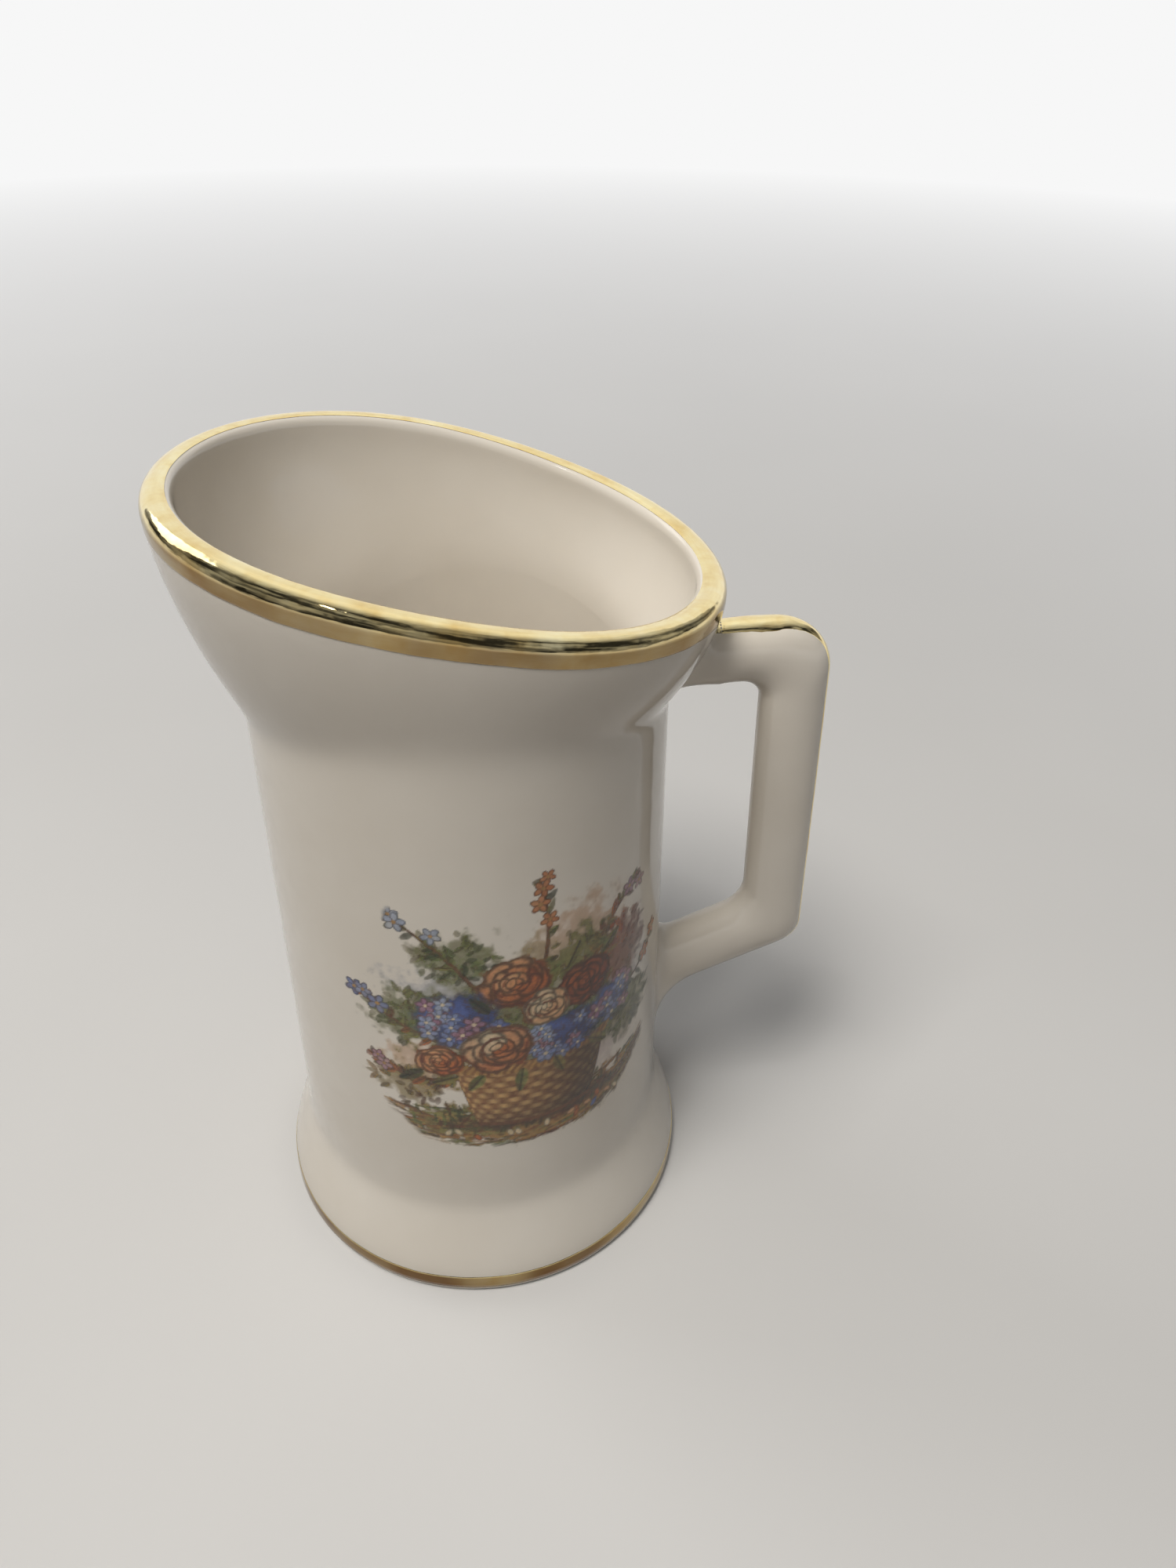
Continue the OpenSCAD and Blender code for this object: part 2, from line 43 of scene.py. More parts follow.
MM = 0.001
BARREL_LOW_R, BARREL_HIGH_R = 49.1 / 2, 47.0 / 2
FOOT_H, FOOT_EDGE_H, FOOT_SPREAD, FOOT_ROUND, FOOT_RING_W = 13.5, 3.2, 3.45, 1.0, 4.0
BASE_HOLLOW, WALL_T, FLOOR_T, FLOOR_ROUND = 2.0, 3.2, 3.5, 6.0
SHOULDER_H, SHOULDER_WAVE, FLARE_H = 80.8, 2.7, 16.7
LIP_SLANT, LIP_WAVE, LIP_R, LIP_IN_POWER, BOWL_ROUND = 11.4, 0.5, 1.6, 3.0, 1.65
MOUTH_L, MOUTH_W, MOUTH_SHIFT, MOUTH_EGG = 58.8, 51.2, 0.4, 0.7
SHOULDER_BLEND, SHOULDER_BLEND_IN, CREASE_BLEND, EDGE_BLEND = 0.35, 1.2, 0.25, 0.3
FINGER_GAP, GRIP_LEAN, ARM_DROP, ARM_RISE = 10.7, 1.4, 6.5, 0.4
ARM_W, ARM_ARCH, GRIP_W, LOWER_ARM_W, ELBOW_H, LOWER_SLOPE = 7.8, 0.3, 7.6, 8.9, 37.5, 27.5
HANDLE_T, SECTION_POWER = 5.8, 2.1
TOP_R, TOP_IN_R, LOW_R, LOW_IN_R = 6.5, 2.4, 4.0, 5.0
SLIP_T, ROOT_GAP = 0.3, 0.3
UPPER_FILLET, UPPER_OVER, UPPER_UNDER, UPPER_DROP = 2.2, 1.2, 4.8, 1.4
LOWER_FILLET, LOWER_UNDER = 2.0, 6.5
RIM_INSIDE, RIM_DROP, STRIPE_W, GRIP_STRIPE_W, FOOT_LINE_H = 30, 1.2, 3.4, 2.3, 2.2
PRINT_GAP_ANGLE, PRINT_W, PRINT_H, PRINT_MID_H = 17, 47.2, 48.0, 46.5
PRINT_STEP, PRINT_LIFT, LEAST_INK = 0.16, 0.03, 0.012

FOOT_R = BARREL_LOW_R + FOOT_SPREAD
LIP_H = SHOULDER_H + FLARE_H
ARM_TOP_H = LIP_H - LIP_SLANT / 2 - LIP_WAVE - ARM_DROP
ARM_ROOT_H = ARM_TOP_H - ARM_RISE
REACH = BARREL_HIGH_R + FINGER_GAP + GRIP_W
INNER_LIFT = 0.4 * WALL_T
FLOOR_Z = BASE_HOLLOW + FLOOR_T


# -------- shape of the vessel

def cosd(a):
    return np.cos(np.radians(a))


def sind(a):
    return np.sin(np.radians(a))


def cos_sin(a):
    return math.cos(math.radians(a)), math.sin(math.radians(a))


def mix(a, b, t):
    return a + (b - a) * t


def spow(x, p):
    return np.sign(x) * np.abs(x) ** p


def smax(a, b, k):
    """The larger of a and b, blended over about k where they cross."""
    return b + k * np.logaddexp(0, (a - b) / k)


def smin(a, b, k):
    return -smax(-a, -b, k)


def ramp(t):
    """Eases from 0 to 1 while t goes from 0 to 1."""
    t = np.clip(t, 0, 1)
    return t * t * (3 - 2 * t)


def polar(r, a, z):
    return np.stack(np.broadcast_arrays(r * cosd(a), r * sind(a), z), -1)


def barrel_r(z):
    return mix(BARREL_LOW_R, BARREL_HIGH_R, np.maximum(0, z - FOOT_H) / (SHOULDER_H - FOOT_H))


def skirt(z):
    """How far the foot stands out from the barrel."""
    slope = FOOT_SPREAD * (FOOT_H - z) / (FOOT_H - FOOT_EDGE_H)
    return smin(smax(slope, 0, CREASE_BLEND), FOOT_SPREAD, EDGE_BLEND)


def shoulder_z(a):
    return SHOULDER_H - SHOULDER_WAVE * cosd(2 * a)


def lip_r(a):
    """Radius of the rolled lip's centre line."""
    return ((MOUTH_L + MOUTH_W) / 4 - LIP_R + (MOUTH_L - MOUTH_W) / 4 * cosd(2 * a)
            - MOUTH_SHIFT * cosd(a) - MOUTH_EGG * cosd(a) * sind(a) ** 2)


def lip_z(a):
    return LIP_H - LIP_R - LIP_SLANT / 2 * cosd(a) - LIP_WAVE * cosd(2 * a)


def wall_r(a, z, z0, r1, wall, k):
    """Radius of a wall: the barrel less wall up to z0, then a flare out to r1 at the lip."""
    rise = lip_z(a) - z0
    step = r1 - barrel_r(z0) + wall
    blend = np.minimum(k * rise / (BOWL_ROUND * np.abs(step)), rise / 4)
    s = np.minimum(1, smax(z - z0, 0, blend) / rise)
    return barrel_r(smin(z, z0, blend)) - wall + step * (1 - (1 - s) ** BOWL_ROUND)


def outer_r(a, z):
    return skirt(z) + wall_r(a, z, shoulder_z(a), lip_r(a) + LIP_R, 0, SHOULDER_BLEND)


def inner_r(a, z):
    return wall_r(a, z, shoulder_z(a) + INNER_LIFT, lip_r(a) - LIP_R, WALL_T, SHOULDER_BLEND_IN)


def on_vessel(a, z, lift):
    return polar(outer_r(a, z) + lift, a, z)


def in_vessel(a, z, inset=0):
    return polar(inner_r(a, z) - inset, a, z)


def lip_point(a, t, lift=0):
    """The lip at angles t: 0 is outside, 90 on top and 180 inside, where the roll is squarer."""
    k = np.where(np.asarray(t) > 90, 2 / LIP_IN_POWER, 1.0)
    r = LIP_R + lift
    return polar(lip_r(a) + r * spow(cosd(t), k), a, lip_z(a) + r * spow(sind(t), k))


def flare_z(a, s, lift=0):
    """Height at a share s of the way from the shoulder line to the lip."""
    return mix(shoulder_z(a) + lift, lip_z(a), s)


# -------- meshes

def add_object(name, data):
    thing = bpy.data.objects.new(name, data)
    bpy.context.scene.collection.objects.link(thing)
    return thing


def add_piece(name, points, faces, uvs, node, sharp=50):
    """Adds a mesh piece from points in mm, rides it on the root and hides the CAD part of the node that
    it stands for.
    """
    mesh = bpy.data.meshes.new(name)
    mesh.from_pydata((np.asarray(points, float) * MM).tolist(), [], faces)
    layer = mesh.uv_layers.new(name="UVMap")
    loop_points = np.empty(len(mesh.loops), np.int32)
    mesh.loops.foreach_get("vertex_index", loop_points)
    layer.data.foreach_set("uv", (np.asarray(uvs, float)[loop_points] * MM).astype(np.float32).ravel())
    mesh.polygons.foreach_set("use_smooth", np.ones(len(mesh.polygons), bool))
    mesh.set_sharp_from_angle(angle=math.radians(sharp))
    mesh.update()
    piece = add_object(name, mesh)
    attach(piece, "root")
    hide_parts(node)
    return piece


def outward(points, faces):
    """The faces, turned over if their solid is inside out."""
    volume = 0.0
    for f in faces:
        p = points[f[0]]
        for i in range(1, len(f) - 1):
            volume += np.dot(p, np.cross(points[f[i]], points[f[i + 1]]))
    return faces if volume > 0 else [f[::-1] for f in faces]


def grid_faces(m, n, around, along=False):
    """Quads of a grid of m rows of n points, closed round the columns or the rows if asked."""
    i = np.arange(m if along else m - 1)[:, None]
    j = np.arange(n if around else n - 1)[None, :]
    i1, j1 = (i + 1) % m, (j + 1) % n
    quads = np.stack(np.broadcast_arrays(i * n + j, i * n + j1, i1 * n + j1, i1 * n + j), -1)
    return [list(map(int, q)) for q in quads.reshape(-1, 4)]


def grid_uvs(rings):
    """Lengths round and along a grid, in mm, as texture coordinates."""
    steps = np.linalg.norm(np.diff(rings, axis=1), axis=2)
    u = np.concatenate([np.zeros((len(rings), 1)), np.cumsum(steps, 1)], 1)
    along = np.linalg.norm(np.diff(rings, axis=0), axis=2).mean(1)
    v = np.concatenate([[0], np.cumsum(along)])
    return np.stack([u, np.broadcast_to(v[:, None], u.shape)], -1)


def add_skin(name, rings, node, sharp):
    """A closed solid from a stack of rings, with a point in the middle of each end."""
    rings = np.asarray(rings)
    m, n = rings.shape[:2]
    points = np.concatenate([rings.reshape(-1, 3), [rings[0].mean(0)], [rings[-1].mean(0)]])
    faces = grid_faces(m, n, True)
    faces += [[m * n, (j + 1) % n, j] for j in range(n)]
    faces += [[m * n + 1, (m - 1) * n + j, (m - 1) * n + (j + 1) % n] for j in range(n)]
    uvs = np.concatenate([grid_uvs(rings).reshape(-1, 2), np.zeros((2, 2))])
    return add_piece(name, points, outward(points, faces), uvs, node, sharp)


def add_gold(name, sheet, around, node):
    """A closed thin shell of gold: sheet(lift) gives its grid, with its edges at the lower lift."""
    lower, upper = map(sheet, GOLD_LIFTS)
    m, n = upper.shape[:2]
    if around:
        rings = np.concatenate([upper, lower[::-1]])
        points = rings.reshape(-1, 3)
        faces = grid_faces(2 * m, n, True, True)
        uvs = np.concatenate([grid_uvs(upper), grid_uvs(lower)[::-1]]).reshape(-1, 2)
    else:
        rings = np.concatenate([upper, lower[:, ::-1]], 1)
        points = rings.reshape(-1, 3)
        faces = grid_faces(m, 2 * n, True)
        faces += [list(range(2 * n)), list(range((m - 1) * 2 * n, m * 2 * n))[::-1]]
        uvs = np.concatenate([grid_uvs(upper), grid_uvs(lower)[:, ::-1]], 1).reshape(-1, 2)
    return add_piece(name, points, outward(points, faces), uvs, node, 75)


def noise1(x, seed, period=360.0):
    """A smooth wander from -1 to 1 over a period, the same at both ends."""
    rng = np.random.default_rng(seed)
    total = sum((0.6 ** k) * np.sin(2 * np.pi * w * x / period + rng.uniform(0, 6.3))
                for k, w in enumerate((3, 7, 13, 29, 53)))
    return total / 1.6


# -------- vessel

COLUMNS = 224
azimuths = np.arange(COLUMNS) * 360.0 / COLUMNS


def spread(stops, counts):
    """Values that run through the stops, with a count of steps for each stretch."""
    parts = [np.linspace(a, b, c, endpoint=False) for a, b, c in zip(stops, stops[1:], counts)]
    return np.concatenate(parts + [[stops[-1]]])


def vessel_rings(a):
    """Rings from the middle of the underside, up outside, over the lip and down to the floor."""
    ring_out = FOOT_R - FOOT_ROUND
    ring_in = ring_out - FOOT_RING_W
    rings = [polar(np.full_like(a, r), a, z) for r, z in (
        (6, BASE_HOLLOW), (14, BASE_HOLLOW), (ring_in - 1.6, BASE_HOLLOW),
        (ring_in - 1.2, BASE_HOLLOW - 0.1), (ring_in - 0.7, BASE_HOLLOW * 0.6),
        (ring_in - 0.25, 0.4), (ring_in - 0.1, 0.12), (ring_in, 0.0),
        (ring_in + FOOT_RING_W / 2, 0.0), (ring_out - 0.35, 0.0))]
    for t in np.linspace(8, 90, 8):
        edge = outer_r(a, np.full_like(a, FOOT_ROUND))
        rings.append(polar(edge - FOOT_ROUND * (1 - sind(t)), a, FOOT_ROUND * (1 - cosd(t))))
    # level rings up the foot and the barrel, closer where the outline bends
    heights = spread([1.25, FOOT_EDGE_H - 0.8, FOOT_EDGE_H + 1.2, FOOT_H - 1, FOOT_H + 1, 20, 65],
                     [4, 12, 12, 14, 6, 18])
    rings += [on_vessel(a, np.full_like(a, z), 0) for z in heights]
    # then rings that follow the shoulder line, up to the lip and down inside
    rings += [on_vessel(a, flare_z(a, s), 0) for s in spread([-0.42, -0.12, 0.14, 0.96], [6, 22, 24])]
    rings += [lip_point(a, t) for t in np.linspace(0, 180, 25)]
    rings += [in_vessel(a, flare_z(a, s, INNER_LIFT)) for s in spread([0.92, 0.2, -0.3], [18, 14])]
    rings += [in_vessel(a, np.full_like(a, z))
              for z in spread([68, 20, FLOOR_Z + FLOOR_ROUND + 1], [14, 6])]
    for t in np.linspace(0, 90, 12):
        z = np.full_like(a, FLOOR_Z + FLOOR_ROUND * (1 - sind(t)))
        rings.append(in_vessel(a, z, FLOOR_ROUND * (1 - cosd(t))))
    rings += [polar(np.full_like(a, r), a, FLOOR_Z) for r in (10, 5)]
    return np.asarray(rings)


mug = add_skin("mug_body", vessel_rings(azimuths), "vessel", 60)


# -------- handle

def meet(p, u, q, v):
    """Where the line through p along u crosses the line through q along v."""
    w = q - p
    return p + u * (w[0] * v[1] - w[1] * v[0]) / (u[0] * v[1] - u[1] * v[0])


def corner(a, c, b, r, n):
    """Points of the arc of radius r that rounds the corner c between a and b."""
    u, v = (a - c) / np.linalg.norm(a - c), (b - c) / np.linalg.norm(b - c)
    half = math.acos(u @ v) / 2
    centre = c + (u + v) / np.linalg.norm(u + v) * r / math.sin(half)
    start, end = c + u * r / math.tan(half) - centre, c + v * r / math.tan(half) - centre
    turn = math.acos(start @ end / (r * r))
    t = np.linspace(0, 1, n + 1)[:, None]
    return centre + (start * np.sin(turn * (1 - t)) + end * np.sin(turn * t)) / math.sin(turn)


ROOT_STEPS, CORNER_STEPS, GRIP_STEPS, LOW_CORNER_STEPS, TAIL_STEPS = 10, 24, 14, 20, 7


def outline(p0, p1, p2, p3, r1, r2, sag):
    """One side of the handle, root to root, with its corners rounded and its first root sagging."""
    a, b = corner(p0, p1, p2, r1, CORNER_STEPS), corner(p1, p2, p3, r2, LOW_CORNER_STEPS)
    t = np.linspace(0, 1, ROOT_STEPS + 1)[:-1, None]
    root = mix(p0, a[0], t) - np.array([0, sag]) * (1 - t) ** 2
    grip = mix(a[-1], b[0], np.linspace(0, 1, GRIP_STEPS + 1)[1:-1, None])
    tail = mix(b[-1], p3, np.linspace(0, 1, TAIL_STEPS + 1)[1:, None])
    return np.concatenate([root, a, grip, b, tail])


SLOPE_COS, SLOPE_SIN = cos_sin(LOWER_SLOPE)


def across(v):
    """A step of length v square to the lower arm."""
    return np.array([-SLOPE_SIN, SLOPE_COS]) * v


ARM_DIR = np.array([-SLOPE_COS, -SLOPE_SIN])
spine_top, spine_low = np.array([REACH, ARM_TOP_H]), np.array([REACH + GRIP_LEAN, ELBOW_H])
palm_top = np.array([REACH - GRIP_W, ARM_TOP_H - ARM_W])
grip_dir = (spine_low - spine_top) / np.linalg.norm(spine_low - spine_top)
palm_low = meet(palm_top, grip_dir, spine_low + across(LOWER_ARM_W), ARM_DIR)
LOWER_TAN = math.tan(math.radians(LOWER_SLOPE))
upper_root_x = float(outer_r(0.0, ARM_ROOT_H)) + SLIP_T + UPPER_OVER + ROOT_GAP
lower_root_x = float(barrel_r(ELBOW_H)) + SLIP_T + LOWER_UNDER + ROOT_GAP
spine_root = np.array([lower_root_x, spine_low[1] - (spine_low[0] - lower_root_x) * LOWER_TAN])
palm_root = spine_root + across(LOWER_ARM_W)
spine = outline(np.array([upper_root_x, ARM_TOP_H]), spine_top, spine_low, spine_root,
                TOP_R, LOW_R, ARM_RISE)
palm = outline(np.array([upper_root_x, ARM_TOP_H - ARM_W]), palm_top, palm_low, palm_root,
               TOP_IN_R, LOW_IN_R, ARM_ARCH)


def handle_point(i, t, lift=0.0):
    """Points of station i of the handle at angles t: 0 is the spine, 180 the palm."""
    s, p = spine[i], palm[i]
    middle, half = (s + p) / 2, np.linalg.norm(s - p) / 2
    u = (s - p) / (2 * half)
    w = (half + lift) * spow(cosd(t), 2 / SECTION_POWER)
    y = (HANDLE_T / 2 + lift) * spow(sind(t), 2 / SECTION_POWER)
    return np.stack([middle[0] + u[0] * w, y, middle[1] + u[1] * w], -1)


def landing(p, slope, lift):
    """Where lines from the points p, running in by the slope, meet the vessel."""
    x = np.full(p.shape[:-1], BARREL_LOW_R)
    for _ in range(12):
        z = p[..., 2] + (x - p[..., 0]) * slope
        r = outer_r(np.degrees(np.arctan2(p[..., 1], x)), z) + lift
        x = np.sqrt(r * r - p[..., 1] ** 2)
    return np.stack([x, p[..., 1], p[..., 2] + (x - p[..., 0]) * slope], -1)


def upper_reach(t, under=UPPER_UNDER):
    """How far the upper fillet runs out, at angles t round the arm."""
    return mix(UPPER_FILLET, np.where(cosd(t) > 0, UPPER_OVER, under), cosd(t) ** 2)


def lower_reach(t):
    return mix(LOWER_FILLET, LOWER_UNDER, np.maximum(0, cosd(t)) ** 2)


def fillet_foot(p, t, s, reach, side, lift):
    """Foot of a fillet on the vessel; the spine is on top (side 1) or underneath (side -1)."""
    a = np.degrees(np.arctan2(p[..., 1], p[..., 0]) + sind(t) * reach * s * s / outer_r(0.0, p[..., 2]))
    return on_vessel(a, p[..., 2] + side * cosd(t) * reach * s * s, lift)


def upper_foot(p, t, s, lift):
    return fillet_foot(p, t, s, upper_reach(t, UPPER_DROP), 1, lift)


def lower_foot(p, t, s, lift):
    return fillet_foot(p, t, s, lower_reach(t), -1, lift)


# The edge of each joint is drawn in under the glaze, where it runs out to nothing, and
# its sole lies deeper
EDGE_SINK, SOLE_SINK = -0.04, -0.3


def upper_fillet(p, t, s, lift=0.0):
    q = upper_foot(p, t, s, mix(SLIP_T, EDGE_SINK, s) + lift)
    a = np.arctan2(q[..., 1], q[..., 0]) * s
    h = upper_reach(t) * (1 - s) ** 2
    return q + np.stack([h * np.cos(a), h * np.sin(a), np.zeros_like(h)], -1)


def lower_fillet(p, t, s):
    q = lower_foot(p, t, s, mix(SLIP_T, EDGE_SINK, s))
    return q + (lower_reach(t) * (1 - s) ** 2)[..., None] * np.array([1, 0, LOWER_TAN])


SECTION = 96
turns = np.arange(SECTION) * 360.0 / SECTION
last = len(spine) - 1
upper_land = landing(handle_point(0, turns), 0, SLIP_T)
lower_land = landing(handle_point(last, turns), LOWER_TAN, SLIP_T)

handle_rings = [lower_land, lower_fillet(lower_land, turns, 0.0)]
handle_rings += [handle_point(i, turns) for i in range(last, -1, -1)]
handle_rings += [upper_fillet(upper_land, turns, 0.0), upper_land]
handle = add_skin("handle_body", handle_rings, "handle", 60)

joint_shares = np.linspace(0, 1, 25) ** 0.8


def joint_rings(land, fillet, foot):
    """From under the arm, out over the fillet to its edge, and back below the glaze."""
    out = [fillet(land, turns, s) for s in joint_shares]
    back = [foot(land, turns, s, SOLE_SINK) for s in joint_shares[-2::-3]]
    return [land] + out + back


upper_joint = add_skin("upper_joint", joint_rings(upper_land, upper_fillet, upper_foot),
                       "handle_upper_lute", 75)
lower_joint = add_skin("lower_joint", joint_rings(lower_land, lower_fillet, lower_foot),
                       "handle_lower_lute", 75)


# -------- gilding

# The gold is a brushed film: its edges wander a little, as a hand-painted line's do, and
# run out just under the glaze
GOLD_LIFTS = (-0.02, 0.05)
GOLD_EDGE = GOLD_LIFTS[0]
GOLD_COLUMNS = 320
STRIPE_TUCK = 0.3
# in mm, and inside the lip in degrees
RIM_WANDER, FOOT_WANDER, INSIDE_WANDER = 0.12, 0.1, 1.6
gold_azimuths = np.arange(GOLD_COLUMNS) * 360.0 / GOLD_COLUMNS


def rim_sheet(lift):
    """Gold from below the lip outside, over it, to a little way down inside."""
    a = gold_azimuths
    low = RIM_DROP + RIM_WANDER * noise1(a, 11)
    inside = RIM_INSIDE + INSIDE_WANDER * noise1(a, 12)
    rows = [on_vessel(a, lip_z(a) - low * d, lift if d < 1 else GOLD_EDGE)
            for d in (1, 0.97, 0.8, 0.55, 0.3)]
    rows += [lip_point(a, t, lift) for t in np.linspace(0, 90, 16)]
    rows += [lip_point(a, 90 + inside * k, lift if k < 1 else GOLD_EDGE)
             for k in (0.2, 0.45, 0.7, 0.9, 0.97, 1)]
    return np.asarray(rows)


rim_gold = add_gold("rim_gold", rim_sheet, True, "rim_gilding")


def stripe_sheet(lift):
    """Gold from the rim band down over the joint and along the spine, narrower on the grip."""
    shares = np.array([-1, -0.96, -0.75, -0.5, -0.25, 0, 0.25, 0.5, 0.75, 0.96, 1])
    lifts = np.where(np.abs(shares) < 1, lift, GOLD_EDGE)
    rows = []

    def angles(k, narrowing=0.0):
        width = mix(STRIPE_W, GRIP_STRIPE_W, narrowing)
        edge = math.degrees(math.asin((width / HANDLE_T) ** (SECTION_POWER / 2)))
        return edge * shares * (1 + 0.06 * noise1(float(k), 21, 90.0) * np.sign(shares)
                                + 0.03 * noise1(float(k), 22, 90.0))

    def root(t):
        return landing(handle_point(0, t), 0, SLIP_T)

    for k, s in enumerate(np.linspace(0, 1, 7)[:-1]):
        t = angles(k)
        p = upper_foot(root(t), t, 1.0, 0)
        a = np.degrees(np.arctan2(p[:, 1], p[:, 0]))
        top = lip_z(a) - RIM_DROP + STRIPE_TUCK
        rows.append(on_vessel(a, mix(top, p[:, 2], s), lifts))
    for k, s in enumerate(joint_shares[::-2]):
        t = angles(k + 7)
        rows.append(upper_fillet(root(t), t, s, lifts))
    for i in range(last + 1):
        narrowing = min(1.0, max(0.0, (i - ROOT_STEPS) / (CORNER_STEPS / 2)))
        rows.append(handle_point(i, angles(i + 20, narrowing), lifts))
    return np.asarray(rows)


stripe_gold = add_gold("handle_gold", stripe_sheet, False, "handle_gilding")


def foot_sheet(lift):
    """The gold line round the upright edge of the foot."""
    a = gold_azimuths
    top = FOOT_ROUND + FOOT_LINE_H + FOOT_WANDER * noise1(a, 31) - 0.12
    return np.asarray([on_vessel(a, mix(FOOT_ROUND + 0.02, top, k), lift if 0 < k < 1 else GOLD_EDGE)
                       for k in (0, 0.03, 0.3, 0.6, 0.85, 0.97, 1)])


foot_gold = add_gold("foot_gold", foot_sheet, True, "foot_gilding")


# -------- the printed transfer

def lattice(x, y, seed):
    """Smooth noise from 0 to 1 with features of unit size."""
    rng = np.random.default_rng(seed)
    table = rng.random((256, 256))
    x, y = x + 128.0, y + 128.0
    i, j = np.floor(x).astype(int), np.floor(y).astype(int)
    u, v = ramp(x - i), ramp(y - j)
    i, j, i1, j1 = i % 256, j % 256, (i + 1) % 256, (j + 1) % 256
    return mix(mix(table[j, i], table[j, i1], u), mix(table[j1, i], table[j1, i1], u), v)


def clouds(x, y, seed, octaves=4):
    """The same noise, with finer octaves added."""
    total, size = 0.0, 0.0
    for k in range(octaves):
        total = total + lattice(x * 2 ** k, y * 2 ** k, seed + k) * 0.5 ** k
        size += 0.5 ** k
    return total / size


class Picture:
    """A painted picture on a grid of points, in mm from its middle."""

    def __init__(self, w, h, step):
        nx, ny = int(round(w / step)) + 1, int(round(h / step)) + 1
        self.w, self.h, self.step = w, h, step
        self.x, self.y = np.meshgrid(np.linspace(-w / 2, w / 2, nx), np.linspace(-h / 2, h / 2, ny))
        self.rgb = np.ones((ny, nx, 3))
        self.ink = np.zeros((ny, nx))
        self.edge = clouds(self.x / 1.1, self.y / 1.1, 5)
        self.fine = clouds(self.x / 0.45, self.y / 0.45, 15, 2)

    def window(self, x0, x1, y0, y1):
        """The part of the grid that a box covers."""
        i0 = max(0, int((y0 + self.h / 2) / self.step) - 1)
        i1 = min(self.x.shape[0], int((y1 + self.h / 2) / self.step) + 3)
        j0 = max(0, int((x0 + self.w / 2) / self.step) - 1)
        j1 = min(self.x.shape[1], int((x1 + self.w / 2) / self.step) + 3)
        return (slice(i0, max(i0, i1)), slice(j0, max(j0, j1)))

    def lay(self, win, colour, alpha):
        """Lays a colour over what is there."""
        old, rgb = self.ink[win], self.rgb[win]
        new = alpha + old * (1 - alpha)
        share = np.where(new > 1e-6, alpha / np.maximum(new, 1e-6), 0)[..., None]
        self.rgb[win] = rgb * (1 - share) + np.asarray(colour) * share
        self.ink[win] = new

    def shade(self, win, amount):
        self.rgb[win] *= (1 - amount)[..., None]

    def dab(self, cx, cy, rx, ry, turn, colour, alpha=0.9, soft=0.35, rough=0.5, rim=0.0):
        """An oval touch of the brush with an uneven edge; rim darkens its edge."""
        r = max(rx, ry) * 1.5
        win = self.window(cx - r, cx + r, cy - r, cy + r)
        x, y = self.x[win] - cx, self.y[win] - cy
        c, s = cos_sin(turn)
        d = np.hypot((x * c + y * s) / rx, (y * c - x * s) / ry) + rough * (self.edge[win] - 0.5)
        a = ramp((1 - d) / soft + 0.5)
        self.lay(win, colour, a * alpha)
        if rim:
            self.shade(win, rim * a * ramp((d - 0.55) / 0.35))

    def leaf(self, cx, cy, length, width, turn, colour, alpha=0.9, vein=0.35):
        """A pointed leaf that starts at cx, cy and runs off at an angle."""
        r = length * 1.1
        win = self.window(cx - r, cx + r, cy - r, cy + r)
        x, y = self.x[win] - cx, self.y[win] - cy
        c, s = cos_sin(turn)
        u, v = (x * c + y * s) / length, (y * c - x * s) / (width / 2)
        half = np.sqrt(np.clip(4 * u * (1 - u), 0, 1)) * np.clip(1.25 - 0.55 * u, 0, 1)
        a = ramp((half - np.abs(v)) / 0.35 + 0.4) * (u > 0) * (u < 1)
        self.lay(win, colour, a * alpha * (0.75 + 0.5 * (self.fine[win] - 0.5)))
        self.shade(win, a * vein * (np.exp(-(v / 0.18) ** 2) + 0.8 * (v < 0) * 0.6))

    def line(self, points, w0, w1, colour, alpha=0.85):
        """A stroke along the points, from width w0 to w1."""
        p = np.asarray(points, float)
        n = len(p) - 1
        (x0, y0), (x1, y1) = p.min(0) - 1, p.max(0) + 1
        win = self.window(x0, x1, y0, y1)
        x, y = self.x[win], self.y[win]
        a = np.zeros_like(x)
        for k in range(n):
            d = p[k + 1] - p[k]
            t = np.clip(((x - p[k, 0]) * d[0] + (y - p[k, 1]) * d[1]) / (d @ d + 1e-9), 0, 1)
            dist = np.hypot(x - p[k, 0] - d[0] * t, y - p[k, 1] - d[1] * t)
            half = mix(w0, w1, (k + t) / n) / 2
            a = np.maximum(a, ramp((half - dist) / 0.18 + 0.6))
        self.lay(win, colour, a * alpha * (0.7 + 0.6 * self.fine[win]))


def srgb(r, g, b):
    return np.array([r, g, b]) / 255.0


RUSSET, ORANGE, PEACH = srgb(148, 62, 34), srgb(203, 112, 58), srgb(232, 178, 128)
BLUE, DEEP_BLUE, PALE_BLUE = srgb(96, 118, 190), srgb(58, 74, 146), srgb(160, 178, 216)
GREEN, DARK_GREEN, OLIVE = srgb(118, 134, 70), srgb(66, 82, 46), srgb(150, 146, 82)
OCHRE, BROWN, DARK = srgb(196, 152, 88), srgb(122, 78, 48), srgb(64, 40, 32)
MAUVE, CREAM = srgb(168, 120, 150), srgb(240, 222, 186)


def curve(p0, p1, p2, n=14):
    """Points of the curve from p0 to p2 that bends towards p1."""
    t = np.linspace(0, 1, n)[:, None]
    p0, p1, p2 = map(np.asarray, (p0, p1, p2))
    return p0 * (1 - t) ** 2 + 2 * p1 * t * (1 - t) + p2 * t * t


# How much a rose is foreshortened
ROSE_TILT = 0.86


